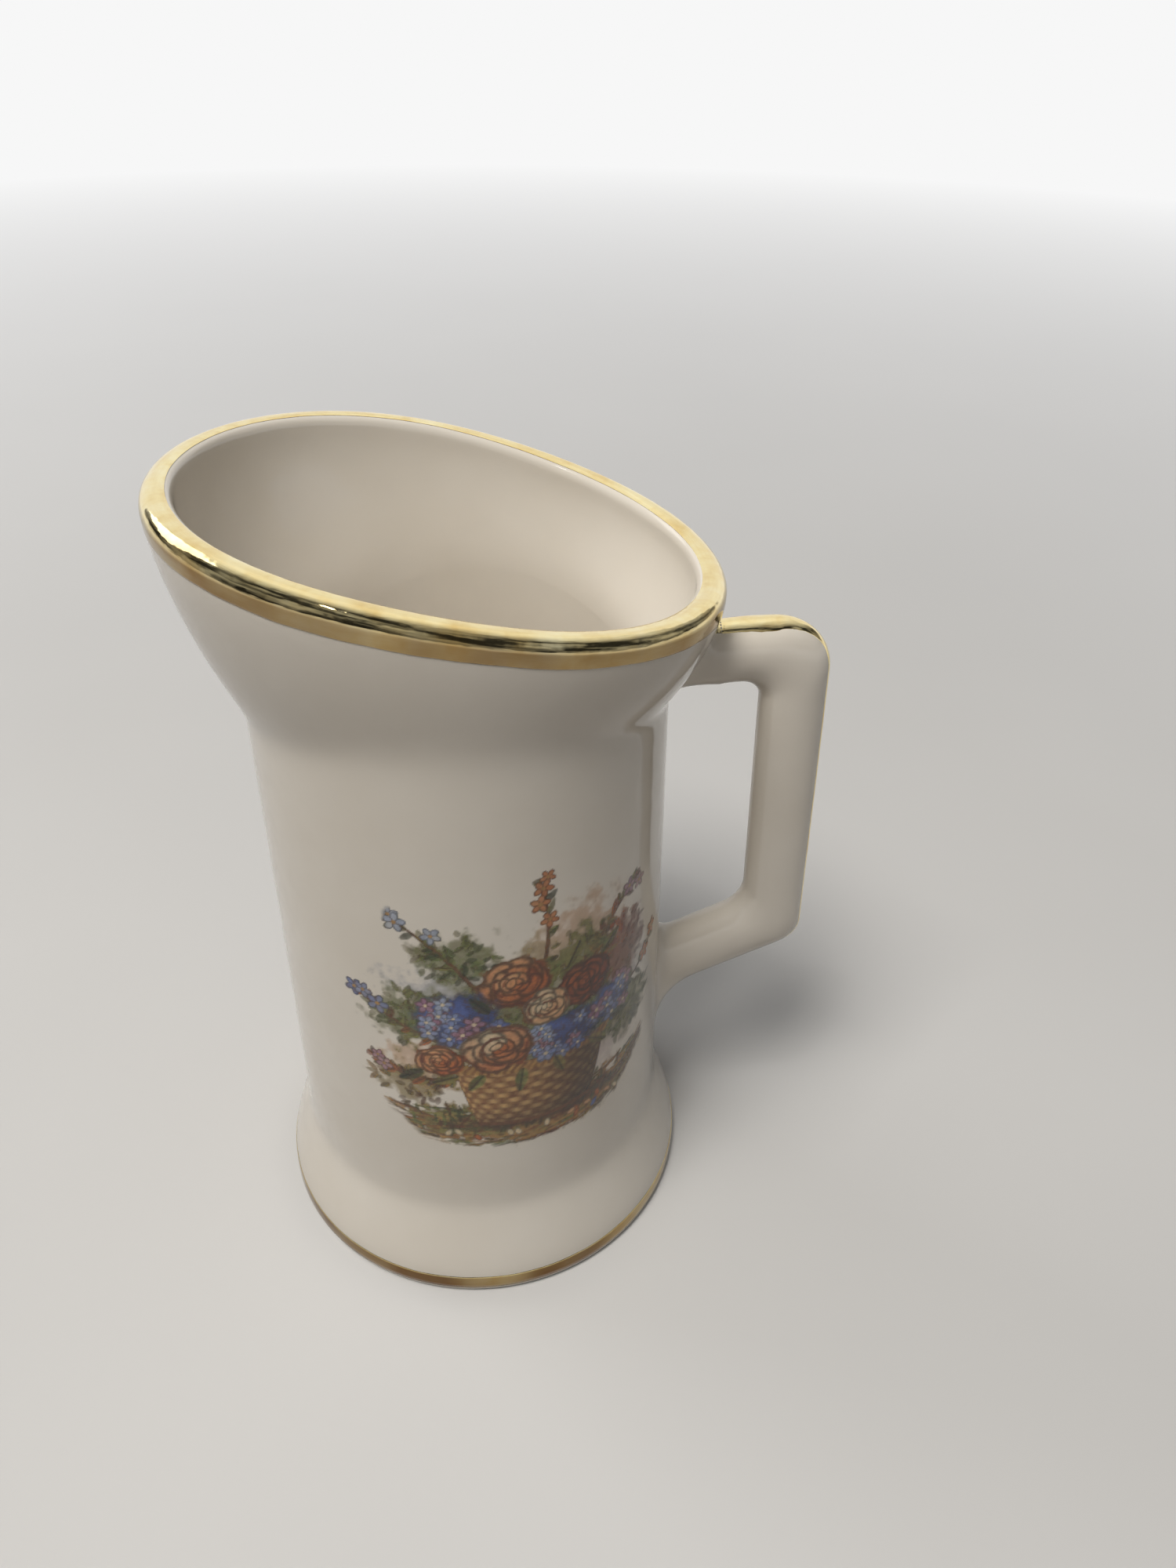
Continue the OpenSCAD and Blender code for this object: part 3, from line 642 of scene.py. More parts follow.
def rose(pic, cx, cy, r, dark, mid, light, rng):
    """A full-blown rose: rings of cupped petals, dark between them, lit from the left."""
    pic.dab(cx, cy, r * 0.98, r * ROSE_TILT, 0, dark, 0.85, 0.25, 0.45)
    for count, ring, size in ((7, 0.66, 0.5), (6, 0.44, 0.42), (5, 0.24, 0.32), (3, 0.1, 0.2)):
        start = rng.uniform(0, 360)
        for k in range(count):
            a = start + 360 * k / count + rng.uniform(-16, 16)
            d = r * ring * rng.uniform(0.88, 1.12)
            c, s = cos_sin(a)
            lit = 0.45 - 0.35 * c + 0.25 * s + rng.uniform(-0.2, 0.2)
            pic.dab(cx + d * c, cy + ROSE_TILT * d * s,
                    r * size * rng.uniform(0.9, 1.15), r * size * rng.uniform(0.6, 0.8),
                    a + 90 + rng.uniform(-20, 20), mix(mid, light, np.clip(lit, 0, 1)),
                    0.9, 0.28, 0.4, 0.5)
    for k in range(10):
        a, ring = rng.uniform(0, 360), rng.uniform(0.3, 0.95) * r
        sweep = np.radians(a + np.linspace(-22, 22, 7))
        pic.line(np.stack([cx + ring * np.cos(sweep), cy + ROSE_TILT * ring * np.sin(sweep)], 1),
                 0.1, 0.34, mix(dark, DARK, 0.4), 0.55)


def floret(pic, cx, cy, r, colour, heart, rng):
    """A small flower of five petals round its heart."""
    start = rng.uniform(0, 72)
    for k in range(5):
        a = start + 72 * k
        c, s = cos_sin(a)
        pic.dab(cx + 0.55 * r * c, cy + 0.55 * r * s, r * 0.5, r * 0.34, a,
                mix(colour, CREAM, rng.uniform(0, 0.25)), 0.9, 0.25, 0.2, 0.35)
    pic.dab(cx, cy, r * 0.2, r * 0.2, 0, heart, 0.9, 0.4, 0)


def foliage(pic, cx, cy, rx, ry, light, mid, dark, rng, density=3.6):
    """A cloud of leaves, light at its upper left and dark under it."""
    pic.dab(cx, cy, rx * 0.92, ry * 0.92, rng.uniform(-10, 10), mix(mid, light, 0.4), 0.5, 0.7, 1.5)
    for _ in range(int(rx * ry * density)):
        a, d = rng.uniform(0, 2 * math.pi), rng.random() ** 0.6
        u, v = d * math.cos(a), d * math.sin(a)
        shade = np.clip(0.5 + 0.35 * u - 0.55 * v + rng.uniform(-0.4, 0.4), 0, 1)
        colour = mix(light, mid, 2 * shade) if shade < 0.5 else mix(mid, dark, 2 * shade - 1)
        heading = math.degrees(math.atan2(v, u)) + rng.uniform(-70, 70)
        pic.leaf(cx + rx * u, cy + ry * v, rng.uniform(0.9, 1.9), rng.uniform(0.55, 0.95),
                 heading, colour, rng.uniform(0.55, 0.9) * (1 - 0.25 * d), 0.2)


TWIG_POINTS = 24


def spray(pic, p0, p1, p2, leaves, rng, length):
    """A twig with leaves to both sides; gives the points along it."""
    path = curve(p0, p1, p2, TWIG_POINTS)
    pic.line(path, 0.6, 0.2, BROWN, 0.8)
    for k in range(2, TWIG_POINTS - 1):
        if rng.random() < 0.3:
            continue
        d = path[k + 1] - path[k]
        heading = math.degrees(math.atan2(d[1], d[0])) + rng.choice((-1, 1)) * rng.uniform(20, 75)
        pic.leaf(path[k][0], path[k][1], length * rng.uniform(0.6, 1.2) * (1.15 - 0.02 * k),
                 rng.uniform(0.7, 1.1), heading, leaves[rng.integers(len(leaves))],
                 rng.uniform(0.65, 0.9), 0.3)
    return path


WICKER_ROW_H, WICKER_STAKES, ROPE_TURNS = 0.95, 9, 44


def basket(pic, cx, cy, w, h):
    """A wicker basket with a rolled rim, lit from the left."""
    win = pic.window(cx - w, cx + w, cy - h, cy + h)
    x, y = pic.x[win] - cx, pic.y[win] - cy
    v = y / h + 0.5
    half = w / 2 * (0.74 + 0.26 * np.clip(v, 0, 1) ** 0.8)
    bow = y + 0.9 * (1 - (x / np.maximum(half, 1e-3)) ** 2).clip(0, 1)
    inside = ramp((half - np.abs(x)) / 0.25 + 0.5) * ramp((h / 2 - y) / 0.2 + 0.5)
    inside = inside * ramp((bow + h / 2) / 0.3 + 0.5)
    u = np.arcsin(np.clip(x / np.maximum(half, 1e-3), -1, 1)) * WICKER_STAKES
    rows = (bow + h / 2) / WICKER_ROW_H
    weave = 0.5 + 0.5 * np.cos(2 * (u + np.floor(rows) % 2 * math.pi / 2))
    gap = np.abs(rows % 1 - 0.5) * 2
    tint = mix(BROWN, mix(OCHRE, CREAM, 0.25), (0.25 + 0.75 * weave * (1 - gap ** 3))[..., None])
    light = (1.08 - 0.5 * ramp((x / (w / 2) + 0.25) / 1.2) - 0.3 * ramp(-(v - 0.35) * 2))[..., None]
    pic.lay(win, np.clip(tint * light, 0, 1), inside * 0.95)
    for k in range(ROPE_TURNS):
        t = k / (ROPE_TURNS - 1) * 2 - 1
        x0, y0 = cx + t * w / 2 * 1.03, cy + h / 2 - 0.9 * (1 - t * t)
        pic.line([[x0 - 0.35, y0 - 0.55], [x0 + 0.4, y0 + 0.55]], 0.5, 0.34,
                 mix(BROWN, OCHRE, 0.35 + 0.6 * (k % 2) - 0.2 * (t > 0.2)), 0.9)
    base, reach = cy - h / 2, w * 0.36
    pic.line(curve((cx - reach, base - 0.1), (cx, base - 1.3), (cx + reach, base - 0.1)),
             0.6, 0.6, BROWN, 0.85)


def paint():
    """A basket of garden flowers on a grassy bank, with foliage and sprays about it."""
    pic = Picture(PRINT_W, PRINT_H, PRINT_STEP)
    rng = np.random.default_rng(7)
    # soft washes behind
    for cx, cy, rx, ry, colour, alpha in (
            (-8, 5, 7, 5, PALE_BLUE, 0.3), (6, 10, 6, 5, PEACH, 0.36), (-1, 3, 10, 8, OLIVE, 0.3),
            (12, 0, 5, 6, PALE_BLUE, 0.26), (-12, -6, 5, 4, PEACH, 0.34), (11, -9, 5, 3, MAUVE, 0.2)):
        pic.dab(cx, cy, rx, ry, rng.uniform(-15, 15), colour, alpha, 0.8, 1.5)
    # the bank: a warm ground, and low slanting strokes of earth and grass over it
    pic.dab(0.5, -16.6, 15, 3.4, -2, OCHRE, 0.75, 0.5, 1.3)
    pic.dab(-6, -15.6, 9, 2.6, 4, mix(OLIVE, GREEN, 0.5), 0.6, 0.6, 1.3)
    pic.dab(8, -17, 8, 2.2, -6, mix(BROWN, OCHRE, 0.5), 0.6, 0.6, 1.3)
    for _ in range(460):
        x = rng.uniform(-17.5, 17.5)
        low = -16.4 - 4.4 * math.sqrt(max(0, 1 - (x / 18.5) ** 2))
        y = rng.uniform(low, -13.4)
        n = rng.uniform(0.8, 3.6)
        tilt = 0.12 + 0.022 * x + rng.uniform(-0.2, 0.2)
        deep = np.clip((y - low) / 4, 0, 1)
        colour = (OCHRE, BROWN, OLIVE, GREEN, DARK_GREEN, RUSSET, DARK)[
            rng.choice(7, p=[.24, .22, .17, .13, .12, .06, .06])]
        pic.line([[x - n / 2, y - tilt * n / 2], [x, y + 0.12], [x + n / 2, y + tilt * n / 2]],
                 0.15, rng.uniform(0.22, 0.5), colour, rng.uniform(0.35, 0.75) * (0.6 + 0.4 * deep))
    for _ in range(120):
        x, y = rng.normal(0, 9.5), rng.uniform(-18.6, -14)
        if abs(x) < 17:
            pic.leaf(x, y, rng.uniform(1, 2.6), rng.uniform(0.3, 0.6), rng.uniform(55, 125),
                     (GREEN, DARK_GREEN, OLIVE, BROWN)[rng.integers(4)], 0.7, 0.2)
    # foliage behind, and the sprays that reach out of it
    foliage(pic, -13.2, 1.5, 5.4, 4.2, OLIVE, GREEN, DARK_GREEN, rng)
    foliage(pic, 12.6, 4.4, 4.6, 5.2, ORANGE, RUSSET, BROWN, rng, 3)
    foliage(pic, 13.6, -6.4, 5, 4, OLIVE, GREEN, DARK_GREEN, rng)
    foliage(pic, -14.6, -9.6, 4.4, 3.6, OCHRE, OLIVE, BROWN, rng, 3)
    foliage(pic, -8, 11, 4.6, 3.2, OLIVE, GREEN, DARK_GREEN, rng)
    paths = [spray(pic, (-4, 2), (-8, 12), (-15.5, 16.5), (GREEN, OLIVE, DARK_GREEN), rng, 2.2),
             spray(pic, (1, 5), (3.5, 13), (1.5, 20.5), (OLIVE, GREEN, DARK_GREEN), rng, 2.3),
             spray(pic, (6, 4), (11, 12), (16, 13.5), (RUSSET, ORANGE, OLIVE), rng, 2.2),
             spray(pic, (-8, -3), (-16, 0), (-20.5, 4.5), (OLIVE, ORANGE, RUSSET), rng, 2.0),
             spray(pic, (8, -3), (16, -3), (20.5, 1.5), (GREEN, DARK_GREEN, OLIVE), rng, 2.1),
             spray(pic, (-8, -8), (-15, -9.5), (-19.5, -6), (OLIVE, ORANGE, BROWN), rng, 1.8)]
    blooms = ((PALE_BLUE, (23, 20, 16)), (ORANGE, (23, 20, 17, 13)), (MAUVE, (23, 19)),
              (BLUE, (23, 20, 15)), (ORANGE, (22, 18)), (MAUVE, (22, 18)))
    for path, (colour, places) in zip(paths, blooms):
        for k in places:
            x, y = path[k] + rng.normal(0, 0.55, 2)
            floret(pic, x, y, rng.uniform(0.9, 1.45), mix(colour, CREAM, rng.uniform(0, 0.3)),
                   OCHRE, rng)
    foliage(pic, 0, -1, 11.5, 8, OLIVE, GREEN, DARK_GREEN, rng, 2.6)
    foliage(pic, 6.5, 8, 4, 3.6, OLIVE, GREEN, BROWN, rng, 2.0)
    # the basket
    pic.dab(2.5, -16.4, 11, 1.6, 0, DARK, 0.6, 0.8, 0.8)
    basket(pic, 0.5, -11.2, 19, 9.8)
    # flowers, from the back to the front
    rose(pic, -1.6, 6.4, 4.0, RUSSET, ORANGE, PEACH, rng)
    rose(pic, 7.0, 3.2, 3.6, DARK, RUSSET, ORANGE, rng)
    for cx, cy, rx, ry, n in (
            (-8.0, 1.4, 4.6, 4.0, 20), (4.2, -3.6, 5.2, 3.2, 22), (11.4, -2.4, 3.0, 2.8, 10)):
        pic.dab(cx, cy, rx, ry, 0, DEEP_BLUE, 0.85, 0.4, 0.6)
        pic.dab(cx - rx * 0.3, cy + ry * 0.3, rx * 0.6, ry * 0.5, 0, BLUE, 0.7, 0.9, 0.8)
        for _ in range(n):
            a, d = rng.uniform(0, 2 * math.pi), math.sqrt(rng.random())
            u, v = d * math.cos(a), d * math.sin(a)
            tint = mix(BLUE, PALE_BLUE, np.clip(0.5 - 0.5 * u + 0.4 * v, 0, 1))
            if rng.random() >= 0.85:
                tint = MAUVE
            floret(pic, cx + rx * u, cy + ry * v, rng.uniform(0.95, 1.5), tint, CREAM, rng)
    rose(pic, -3.8, -3.4, 4.2, RUSSET, ORANGE, CREAM, rng)
    rose(pic, -10.6, -5.2, 2.8, RUSSET, ORANGE, PEACH, rng)
    rose(pic, 2.0, 1.6, 2.9, RUSSET, PEACH, CREAM, rng)
    for x, y, turn in (
            (-8.5, -7.6, 205), (-1, -7.4, 262), (7.5, -6.6, 325), (3, -7.0, 288), (11, -5.4, 350),
            (-4.6, 2.4, 130), (4.6, 6.4, 62), (-12.6, -7, 215), (-5.6, -7.6, 235), (9.4, 6, 40)):
        pic.leaf(x, y, rng.uniform(3, 4), 1.6, turn,
                 (GREEN, DARK_GREEN, OLIVE)[rng.integers(3)], 0.92, 0.4)
    for _ in range(14):
        x = rng.uniform(-12, 14)
        pic.dab(x, -17.2 - 1.8 * rng.random(), 0.7, 0.4, rng.uniform(0, 180),
                (ORANGE, PEACH, BLUE, CREAM)[rng.integers(4)], 0.85, 0.3, 0.3, 0.35)
    # fine brown hatching and grain, as in a lithographed transfer
    hatch = (0.5 + 0.5 * np.sin((pic.x * 0.8 + pic.y * 1.5) * 2 * math.pi / 0.62)) ** 2
    light = pic.rgb @ np.array([0.3, 0.6, 0.1])
    patch = ramp((clouds(pic.x / 3, pic.y / 3, 55) - 0.42) / 0.12)
    pic.rgb = mix(pic.rgb, DARK, (0.4 * hatch * ramp((0.66 - light) / 0.3) * patch)[..., None])
    dots = ramp((lattice(pic.x / 0.34, pic.y / 0.34, 66) - 0.55) / 0.2) * ramp((0.72 - light) / 0.3)
    pic.rgb = mix(pic.rgb, mix(DARK, RUSSET, 0.3), (0.3 * dots)[..., None])
    pic.rgb *= (0.92 + 0.14 * lattice(pic.x / 0.3, pic.y / 0.3, 77))[..., None]
    # and everything stays in an oval with an uneven edge
    oval = np.hypot(pic.x / (pic.w / 2), pic.y / (pic.h / 2))
    oval = oval + 0.08 * (clouds(pic.x / 2, pic.y / 2, 91) - 0.5)
    pic.ink *= ramp((0.985 - oval) / 0.05)
    pic.rgb, pic.ink = np.clip(pic.rgb, 0, 1), np.clip(pic.ink * 1.04 - 0.03, 0, 1)
    return pic


def linear(c):
    """Screen colours as linear ones."""
    return np.where(c <= 0.04045, c / 12.92, ((c + 0.055) / 1.055) ** 2.4)


picture = paint()
print_half = math.degrees(PRINT_W / 2 / float(barrel_r(PRINT_MID_H)))
facing = -PRINT_GAP_ANGLE - print_half
film_a = facing + picture.x / (PRINT_W / 2) * print_half
film_z = PRINT_MID_H + picture.y
film_points = on_vessel(film_a, film_z, PRINT_LIFT).reshape(-1, 3)
rows_n, cols_n = picture.x.shape
# only the cells with ink on them are kept
shown = picture.ink > LEAST_INK
keep = (shown[:-1, :-1] | shown[1:, :-1] | shown[:-1, 1:] | shown[1:, 1:]).ravel()
film_faces = np.array(grid_faces(rows_n, cols_n, False))[keep]
used, film_faces = np.unique(film_faces, return_inverse=True)
film_faces = film_faces.reshape(-1, 4).tolist()
film_uvs = np.stack([picture.x, picture.y], -1).reshape(-1, 2)[used]
film = add_piece("flower_transfer", film_points[used], film_faces, film_uvs,
                 "transfer_print")
colour = np.concatenate([linear(picture.rgb), picture.ink[..., None]], -1).reshape(-1, 4)[used]
layer = film.data.color_attributes.new("print_colour", "FLOAT_COLOR", "POINT")
layer.data.foreach_set("color", colour.astype(np.float32).ravel())


# -------- materials

GLAZE_IOR = 1.54


def add_node(tree, kind):
    return tree.nodes.new("ShaderNode" + kind)


def material(name):
    """A material, its node tree, and a shader in it that is wired to the output."""
    mat = bpy.data.materials.new(name)
    mat.use_nodes = True
    tree = mat.node_tree
    tree.nodes.clear()
    out = add_node(tree, "OutputMaterial")
    shader = add_node(tree, "BsdfPrincipled")
    tree.links.new(shader.outputs["BSDF"], out.inputs["Surface"])
    return mat, tree, shader


def noise(tree, vector, scale, detail=2.0, rough=0.5):
    node = add_node(tree, "TexNoise")
    node.inputs["Scale"].default_value = scale
    node.inputs["Detail"].default_value = detail
    node.inputs["Roughness"].default_value = rough
    tree.links.new(vector, node.inputs["Vector"])
    return node.outputs["Fac"]


def colour_ramp(tree, value, stops):
    node = add_node(tree, "ValToRGB")
    tree.links.new(value, node.inputs["Fac"])
    elements = node.color_ramp.elements
    while len(elements) < len(stops):
        elements.new(0.5)
    for e, (at, c) in zip(elements, stops):
        e.position = at
        e.color = (*c, 1.0)
    return node.outputs["Color"]


def remap(tree, value, a0, a1, b0, b1):
    node = add_node(tree, "MapRange")
    tree.links.new(value, node.inputs["Value"])
    for k, v in (("From Min", a0), ("From Max", a1), ("To Min", b0), ("To Max", b1)):
        node.inputs[k].default_value = v
    return node.outputs["Result"]


def calc(tree, operation, *values):
    """The result of an operation on numbers or sockets."""
    node = add_node(tree, "Math")
    node.operation = operation
    for socket, v in zip(node.inputs, values):
        if isinstance(v, (int, float)):
            socket.default_value = v
        else:
            tree.links.new(v, socket)
    return node.outputs[0]


def separate(tree, vector):
    node = add_node(tree, "SeparateXYZ")
    tree.links.new(vector, node.inputs[0])
    return node.outputs


def mix_colour(tree, factor, a, b, blend="MIX"):
    node = add_node(tree, "Mix")
    node.data_type = "RGBA"
    node.blend_type = blend
    for key, v in ((0, factor), (6, a), (7, b)):
        if isinstance(v, (int, float)):
            node.inputs[key].default_value = v
        elif isinstance(v, tuple):
            node.inputs[key].default_value = (*v, 1.0)
        else:
            tree.links.new(v, node.inputs[key])
    return node.outputs[2]


def bump(tree, shader, height, distance):
    node = add_node(tree, "Bump")
    node.inputs["Strength"].default_value = 1.0
    node.inputs["Distance"].default_value = distance
    tree.links.new(height, node.inputs["Height"])
    tree.links.new(node.outputs["Normal"], shader.inputs["Normal"])


def wire(tree, shader, tint, rough):
    tree.links.new(tint, shader.inputs["Base Color"])
    tree.links.new(rough, shader.inputs["Roughness"])


def porcelain_material(name, bare_foot):
    """White glaze with rare specks; a bare foot is rough biscuit at its lowest."""
    mat, tree, shader = material(name)
    coord = add_node(tree, "TexCoord").outputs["Object"]
    broad = noise(tree, coord, 55, 3)
    tint = colour_ramp(tree, broad,
                       ((0.3, (0.82, 0.755, 0.655)), (0.7, (0.87, 0.812, 0.72))))
    cells = add_node(tree, "TexVoronoi")
    cells.inputs["Scale"].default_value = 75
    tree.links.new(coord, cells.inputs["Vector"])
    speck = remap(tree, cells.outputs["Distance"], 0.012, 0.02, 1.0, 0.0)
    rare = add_node(tree, "SeparateColor")
    tree.links.new(cells.outputs["Color"], rare.inputs[0])
    chosen = remap(tree, rare.outputs[0], 0.84, 0.85, 0.0, 0.8)
    speck = calc(tree, "MULTIPLY", speck, chosen)
    tint = mix_colour(tree, speck, tint, (0.22, 0.18, 0.14))
    gloss = remap(tree, noise(tree, coord, 190, 2), 0.3, 0.7, 0.055, 0.11)
    if bare_foot:
        low = remap(tree, separate(tree, coord)["Z"], 0.00012, 0.00028, 1.0, 0.0)
        grit = noise(tree, coord, 2600, 4, 0.7)
        biscuit = colour_ramp(tree, grit,
                              ((0.3, (0.60, 0.54, 0.46)), (0.7, (0.74, 0.69, 0.61))))
        tint = mix_colour(tree, low, tint, biscuit)
        gloss = calc(tree, "ADD", gloss, calc(tree, "MULTIPLY", low, 0.62))
    wire(tree, shader, tint, gloss)
    shader.inputs["IOR"].default_value = GLAZE_IOR
    bump(tree, shader, noise(tree, coord, 160, 2), 0.00006)
    return mat


def gold_material(name, around, deep=0.0):
    """Brushed gold, with its strokes round a band or along a stripe.

    deep, from 0 to 1, tones the faces that look sideways or down a dark brown. That is for
    the photograph's look, where they mirror dark cloth; gold itself has no such colour.
    """
    mat, tree, shader = material(name)
    texture = add_node(tree, "TexCoord").outputs
    coord = texture["Object"]
    uv, place = separate(tree, texture["UV"]), separate(tree, coord)
    stretch = add_node(tree, "CombineXYZ")
    if around:
        sources = ((place["X"], 130), (place["Y"], 130), (uv["Y"], 900))
    else:
        sources = ((uv["X"], 900), (uv["Y"], 160))
    for socket, (source, scale) in zip(stretch.inputs, sources):
        tree.links.new(calc(tree, "MULTIPLY", source, scale), socket)
    strokes = noise(tree, stretch.outputs[0], 1.0, 3, 0.6)
    patches = noise(tree, coord, 260, 3, 0.6)
    tint = colour_ramp(tree, patches, (
        (0.28, (0.80, 0.60, 0.26)), (0.5, (0.92, 0.78, 0.42)), (0.75, (0.96, 0.87, 0.55))))
    worn = remap(tree, strokes, 0.35, 0.65, 0.0, 0.3)
    tint = mix_colour(tree, worn, tint, (0.74, 0.50, 0.18))
    # Painted reflection: faces that look sideways or down are toned dark brown, unevenly in patches, as
    # if they mirrored dark cloth
    facing = separate(tree, texture["Normal"])["Z"]
    side = remap(tree, facing, 0.15, 0.6, deep, 0.0)
    uneven = remap(tree, noise(tree, coord, 62, 2), 0.4, 0.62, 1.0, 0.66)
    side = calc(tree, "MULTIPLY", side, uneven)
    tint = mix_colour(tree, side, tint, (0.13, 0.052, 0.012))
    wire(tree, shader, tint, remap(tree, strokes, 0.3, 0.7, 0.05, 0.14))
    shader.inputs["Metallic"].default_value = 1.0
    waves = calc(tree, "ADD", calc(tree, "MULTIPLY", strokes, 0.5), noise(tree, coord, 330, 2))
    bump(tree, shader, waves, 0.00009)
    return mat


def transfer_material(name):
    """Printed colours, with the painted ink as their cover."""
    mat, tree, shader = material(name)
    ink = add_node(tree, "VertexColor")
    ink.layer_name = "print_colour"
    coord = add_node(tree, "TexCoord").outputs["UV"]
    grain = noise(tree, coord, 5200, 2, 0.6)
    flecks = colour_ramp(tree, grain, ((0.3, (0.86, 0.84, 0.82)), (0.7, (1, 1, 1))))
    tint = mix_colour(tree, 1.0, ink.outputs["Color"], flecks, "MULTIPLY")
    wire(tree, shader, tint, remap(tree, grain, 0.3, 0.7, 0.11, 0.2))
    tree.links.new(ink.outputs["Alpha"], shader.inputs["Alpha"])
    shader.inputs["IOR"].default_value = GLAZE_IOR
    return mat


# How strongly the rim band and the foot line get the painted dark reflection
BAND_PAINTED_REFLECTION = 0.92
glaze = porcelain_material("porcelain_glaze", True)
slip = porcelain_material("slip_glaze", False)
for piece, mat in ((mug, glaze), (handle, porcelain_material("handle_glaze", False)),
                   (upper_joint, slip), (lower_joint, slip),
                   (rim_gold, gold_material("rim_gold_leaf", True, BAND_PAINTED_REFLECTION)),
                   (stripe_gold, gold_material("stripe_gold_leaf", False)),
                   (foot_gold, gold_material("foot_gold_leaf", True, BAND_PAINTED_REFLECTION)),
                   (film, transfer_material("transfer_ink"))):
    piece.data.materials.append(mat)


# -------- floor, light and camera

# In metres: the floor's edges, where it turns up into the backdrop, and the backdrop's top
FLOOR_FRONT, FLOOR_BEND, BEND_R, FLOOR_HALF_W, BACKDROP_H = -1.6, 1.7, 0.9, 2.6, 2.4
# The white of the background, and of the floor far from the mug
FAR_TONE = (0.93, 0.93, 0.93)


def floor_and_backdrop():
    """A pale floor that sweeps up into a backdrop, and fades to white away from the mug."""
    profile = [(FLOOR_FRONT, 0.0), (FLOOR_BEND, 0.0)]
    for t in range(6, 91, 6):
        c, s = cos_sin(t)
        profile.append((FLOOR_BEND + BEND_R * s, BEND_R * (1 - c)))
    profile.append((FLOOR_BEND + BEND_R, BACKDROP_H))
    points = [(x, y, z) for y, z in profile for x in (-FLOOR_HALF_W, FLOOR_HALF_W)]
    faces = [[2 * i, 2 * i + 1, 2 * i + 3, 2 * i + 2] for i in range(len(profile) - 1)]
    mesh = bpy.data.meshes.new("floor")
    mesh.from_pydata(points, [], faces)
    mesh.polygons.foreach_set("use_smooth", np.ones(len(mesh.polygons), bool))
    floor = add_object("floor", mesh)
    mat, tree, shader = material("floor_paper")
    coord = add_node(tree, "TexCoord").outputs["Object"]
    grain = noise(tree, coord, 9, 2)
    seen = colour_ramp(tree, grain, ((0.3, (0.70, 0.69, 0.675)), (0.7, (0.73, 0.72, 0.705))))
    # The eye and the reflections see pale paper. It lights the mug from below less than that
    path = add_node(tree, "LightPath")
    direct = calc(tree, "MAXIMUM", path.outputs["Is Camera Ray"], path.outputs["Is Glossy Ray"])
    direct = calc(tree, "MAXIMUM", direct, path.outputs["Is Transmission Ray"])
    tone = mix_colour(tree, direct, (0.25, 0.23, 0.21), seen)
    tree.links.new(tone, shader.inputs["Base Color"])
    shader.inputs["Roughness"].default_value = 0.8
    # It fades to white with the distance from the mug
    place = separate(tree, coord)
    squares = [calc(tree, "MULTIPLY", place[k], place[k]) for k in "XY"]
    reach = calc(tree, "SQRT", calc(tree, "ADD", *squares))
    far = remap(tree, reach, 0.14, 0.85, 0.0, 1.0)
    white = add_node(tree, "Emission")
    white.inputs["Color"].default_value = (*FAR_TONE, 1)
    blend = add_node(tree, "MixShader")
    tree.links.new(calc(tree, "MULTIPLY", far, direct), blend.inputs[0])
    tree.links.new(shader.outputs[0], blend.inputs[1])
    tree.links.new(white.outputs[0], blend.inputs[2])
    out = next(n for n in tree.nodes if n.type == "OUTPUT_MATERIAL")
    tree.links.new(blend.outputs[0], out.inputs["Surface"])
    mesh.materials.append(mat)


floor_and_backdrop()


def placed(right, up, back, place):
    """The matrix of a thing with these axes, at a place."""
    axes = np.stack([right, up, back], 1).tolist()
    return Matrix([[*row, p] for row, p in zip(axes, place)] + [[0, 0, 0, 1]])


def area_light(name, place, target, size, power, colour=(1, 1, 1), mirrored=True):
    """A lamp at a place, turned to a target. Reflections leave it out where mirrored is False."""
    data = bpy.data.lights.new(name, "AREA")
    data.shape = "RECTANGLE"
    data.size, data.size_y = size
    data.energy = power
    data.color = colour
    lamp = add_object(name, data)
    lamp.visible_glossy = mirrored
    place, target = np.asarray(place, float), np.asarray(target, float)
    back = (place - target) / np.linalg.norm(place - target)
    right = np.cross((0, 0, 1), back)
    right /= np.linalg.norm(right)
    up = np.cross(back, right)
    lamp.matrix_world = placed(right, up, back, place)


area_light("top", (-0.25, -0.32, 0.94), (0, 0, 0.05), (0.35, 0.35), 6.2, (1, 0.97, 0.92),
           mirrored=False)
area_light("window", (-0.62, 0.38, 0.62), (0, 0, 0.05), (0.4, 0.5), 1.2)
area_light("spark", (-0.18, -0.28, 0.95), (0.01, 0.02, 0.09), (0.05, 0.03), 0.3)


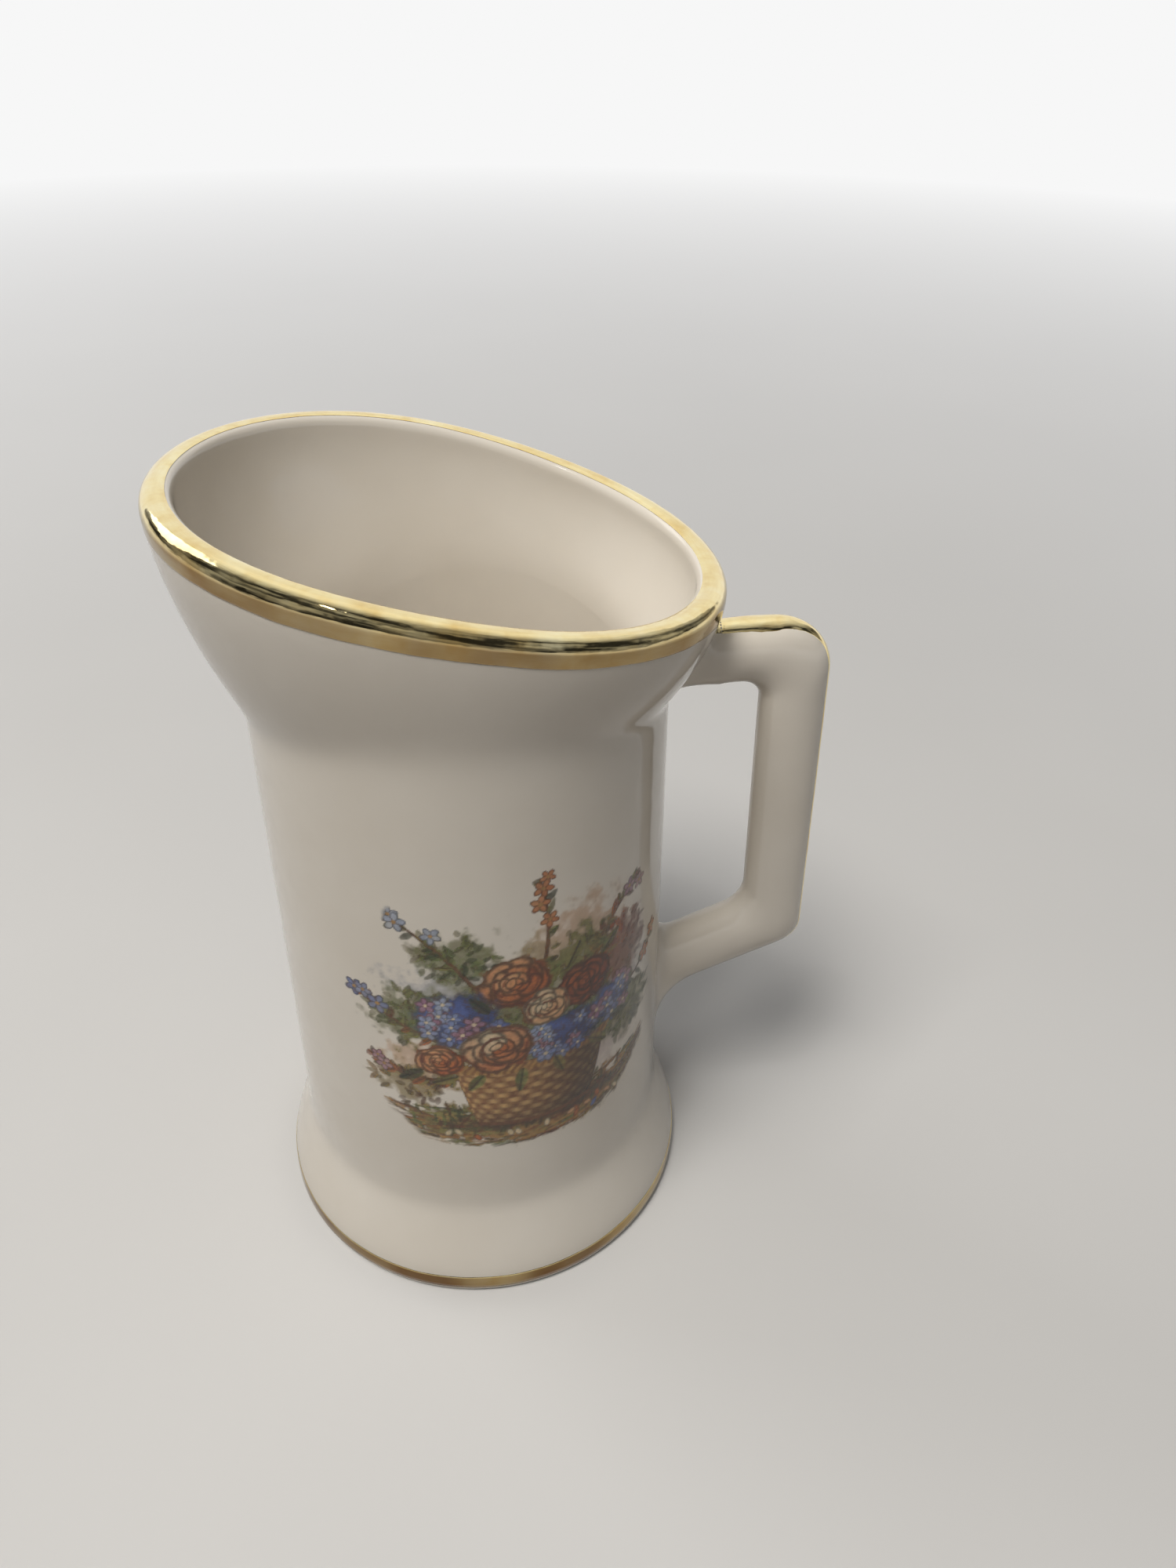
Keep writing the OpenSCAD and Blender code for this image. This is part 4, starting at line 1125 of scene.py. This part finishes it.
def studio_world():
    """Soft light, strongest from above and a little from the front.

    The eye sees it plain white. Reflections see a partly dark room, with white low down and
    high up behind the mug, which gives the gold its contrast.
    """
    world = bpy.data.worlds.new("studio")
    bpy.context.scene.world = world
    world.use_nodes = True
    tree = world.node_tree
    tree.nodes.clear()
    out, sky = add_node(tree, "OutputWorld"), add_node(tree, "Background")
    tree.links.new(sky.outputs[0], out.inputs["Surface"])
    bearing = add_node(tree, "TexCoord").outputs["Generated"]
    axes = separate(tree, bearing)
    path = add_node(tree, "LightPath").outputs
    looked_at = calc(tree, "MAXIMUM", path["Is Camera Ray"], path["Is Transmission Ray"])

    low = remap(tree, axes["Z"], 0.02, 0.12, 0.8, 0.0)
    room = remap(tree, noise(tree, bearing, 2.6, 2), 0.45, 0.68, 0.02, 0.40)
    rise = calc(tree, "ADD", axes["Z"], axes["Y"])
    behind = remap(tree, rise, 0.75, 1.35, 0.0, 1.0)
    view = calc(tree, "MAXIMUM", room, behind)
    view = calc(tree, "MAXIMUM", low, view)

    lean = calc(tree, "MULTIPLY", axes["Y"], -0.18)
    front = calc(tree, "ADD", axes["Z"], lean)
    light = remap(tree, front, 0.05, 1.0, 0.04, 0.32)

    tone = mix_colour(tree, path["Is Glossy Ray"], light, view)
    tone = mix_colour(tree, looked_at, tone, FAR_TONE)
    tree.links.new(tone, sky.inputs["Color"])
    sky.inputs["Strength"].default_value = 1.0


studio_world()

# The photograph's viewpoint, from fitting the camera to the outlines of the mug: where it
# stands in mm and which way it looks. PHOTO_TURN then turns both about Z, in degrees
PHOTO_PLACE, PHOTO_TURN = (14.6, -113.4, 146.9), -4
PHOTO_RIGHT, PHOTO_FORWARD = (0.9999, 0.0089, 0.0121), (0.0, 0.8049, -0.5934)
PHOTO_LENS, SENSOR_W = 27.0, 36.0


def photo_camera():
    """A camera at the photograph's viewpoint."""
    c, s = cos_sin(PHOTO_TURN)
    spin = np.array([[c, -s, 0], [s, c, 0], [0, 0, 1]])
    place = spin @ np.array(PHOTO_PLACE) * MM
    right = spin @ np.array(PHOTO_RIGHT)
    forward = spin @ np.array(PHOTO_FORWARD)
    forward /= np.linalg.norm(forward)
    right -= forward * (right @ forward)
    right /= np.linalg.norm(right)
    up = np.cross(right, forward)
    data = bpy.data.cameras.new("photo")
    data.lens, data.sensor_width, data.sensor_fit = PHOTO_LENS, SENSOR_W, "AUTO"
    data.clip_start, data.clip_end = 0.005, 20.0
    camera = add_object("photo", data)
    camera.matrix_world = placed(right, up, -forward, place)
    bpy.context.scene.camera = camera


photo_camera()
bpy.context.scene.view_settings.view_transform = "Standard"

bpy.context.view_layer.update()
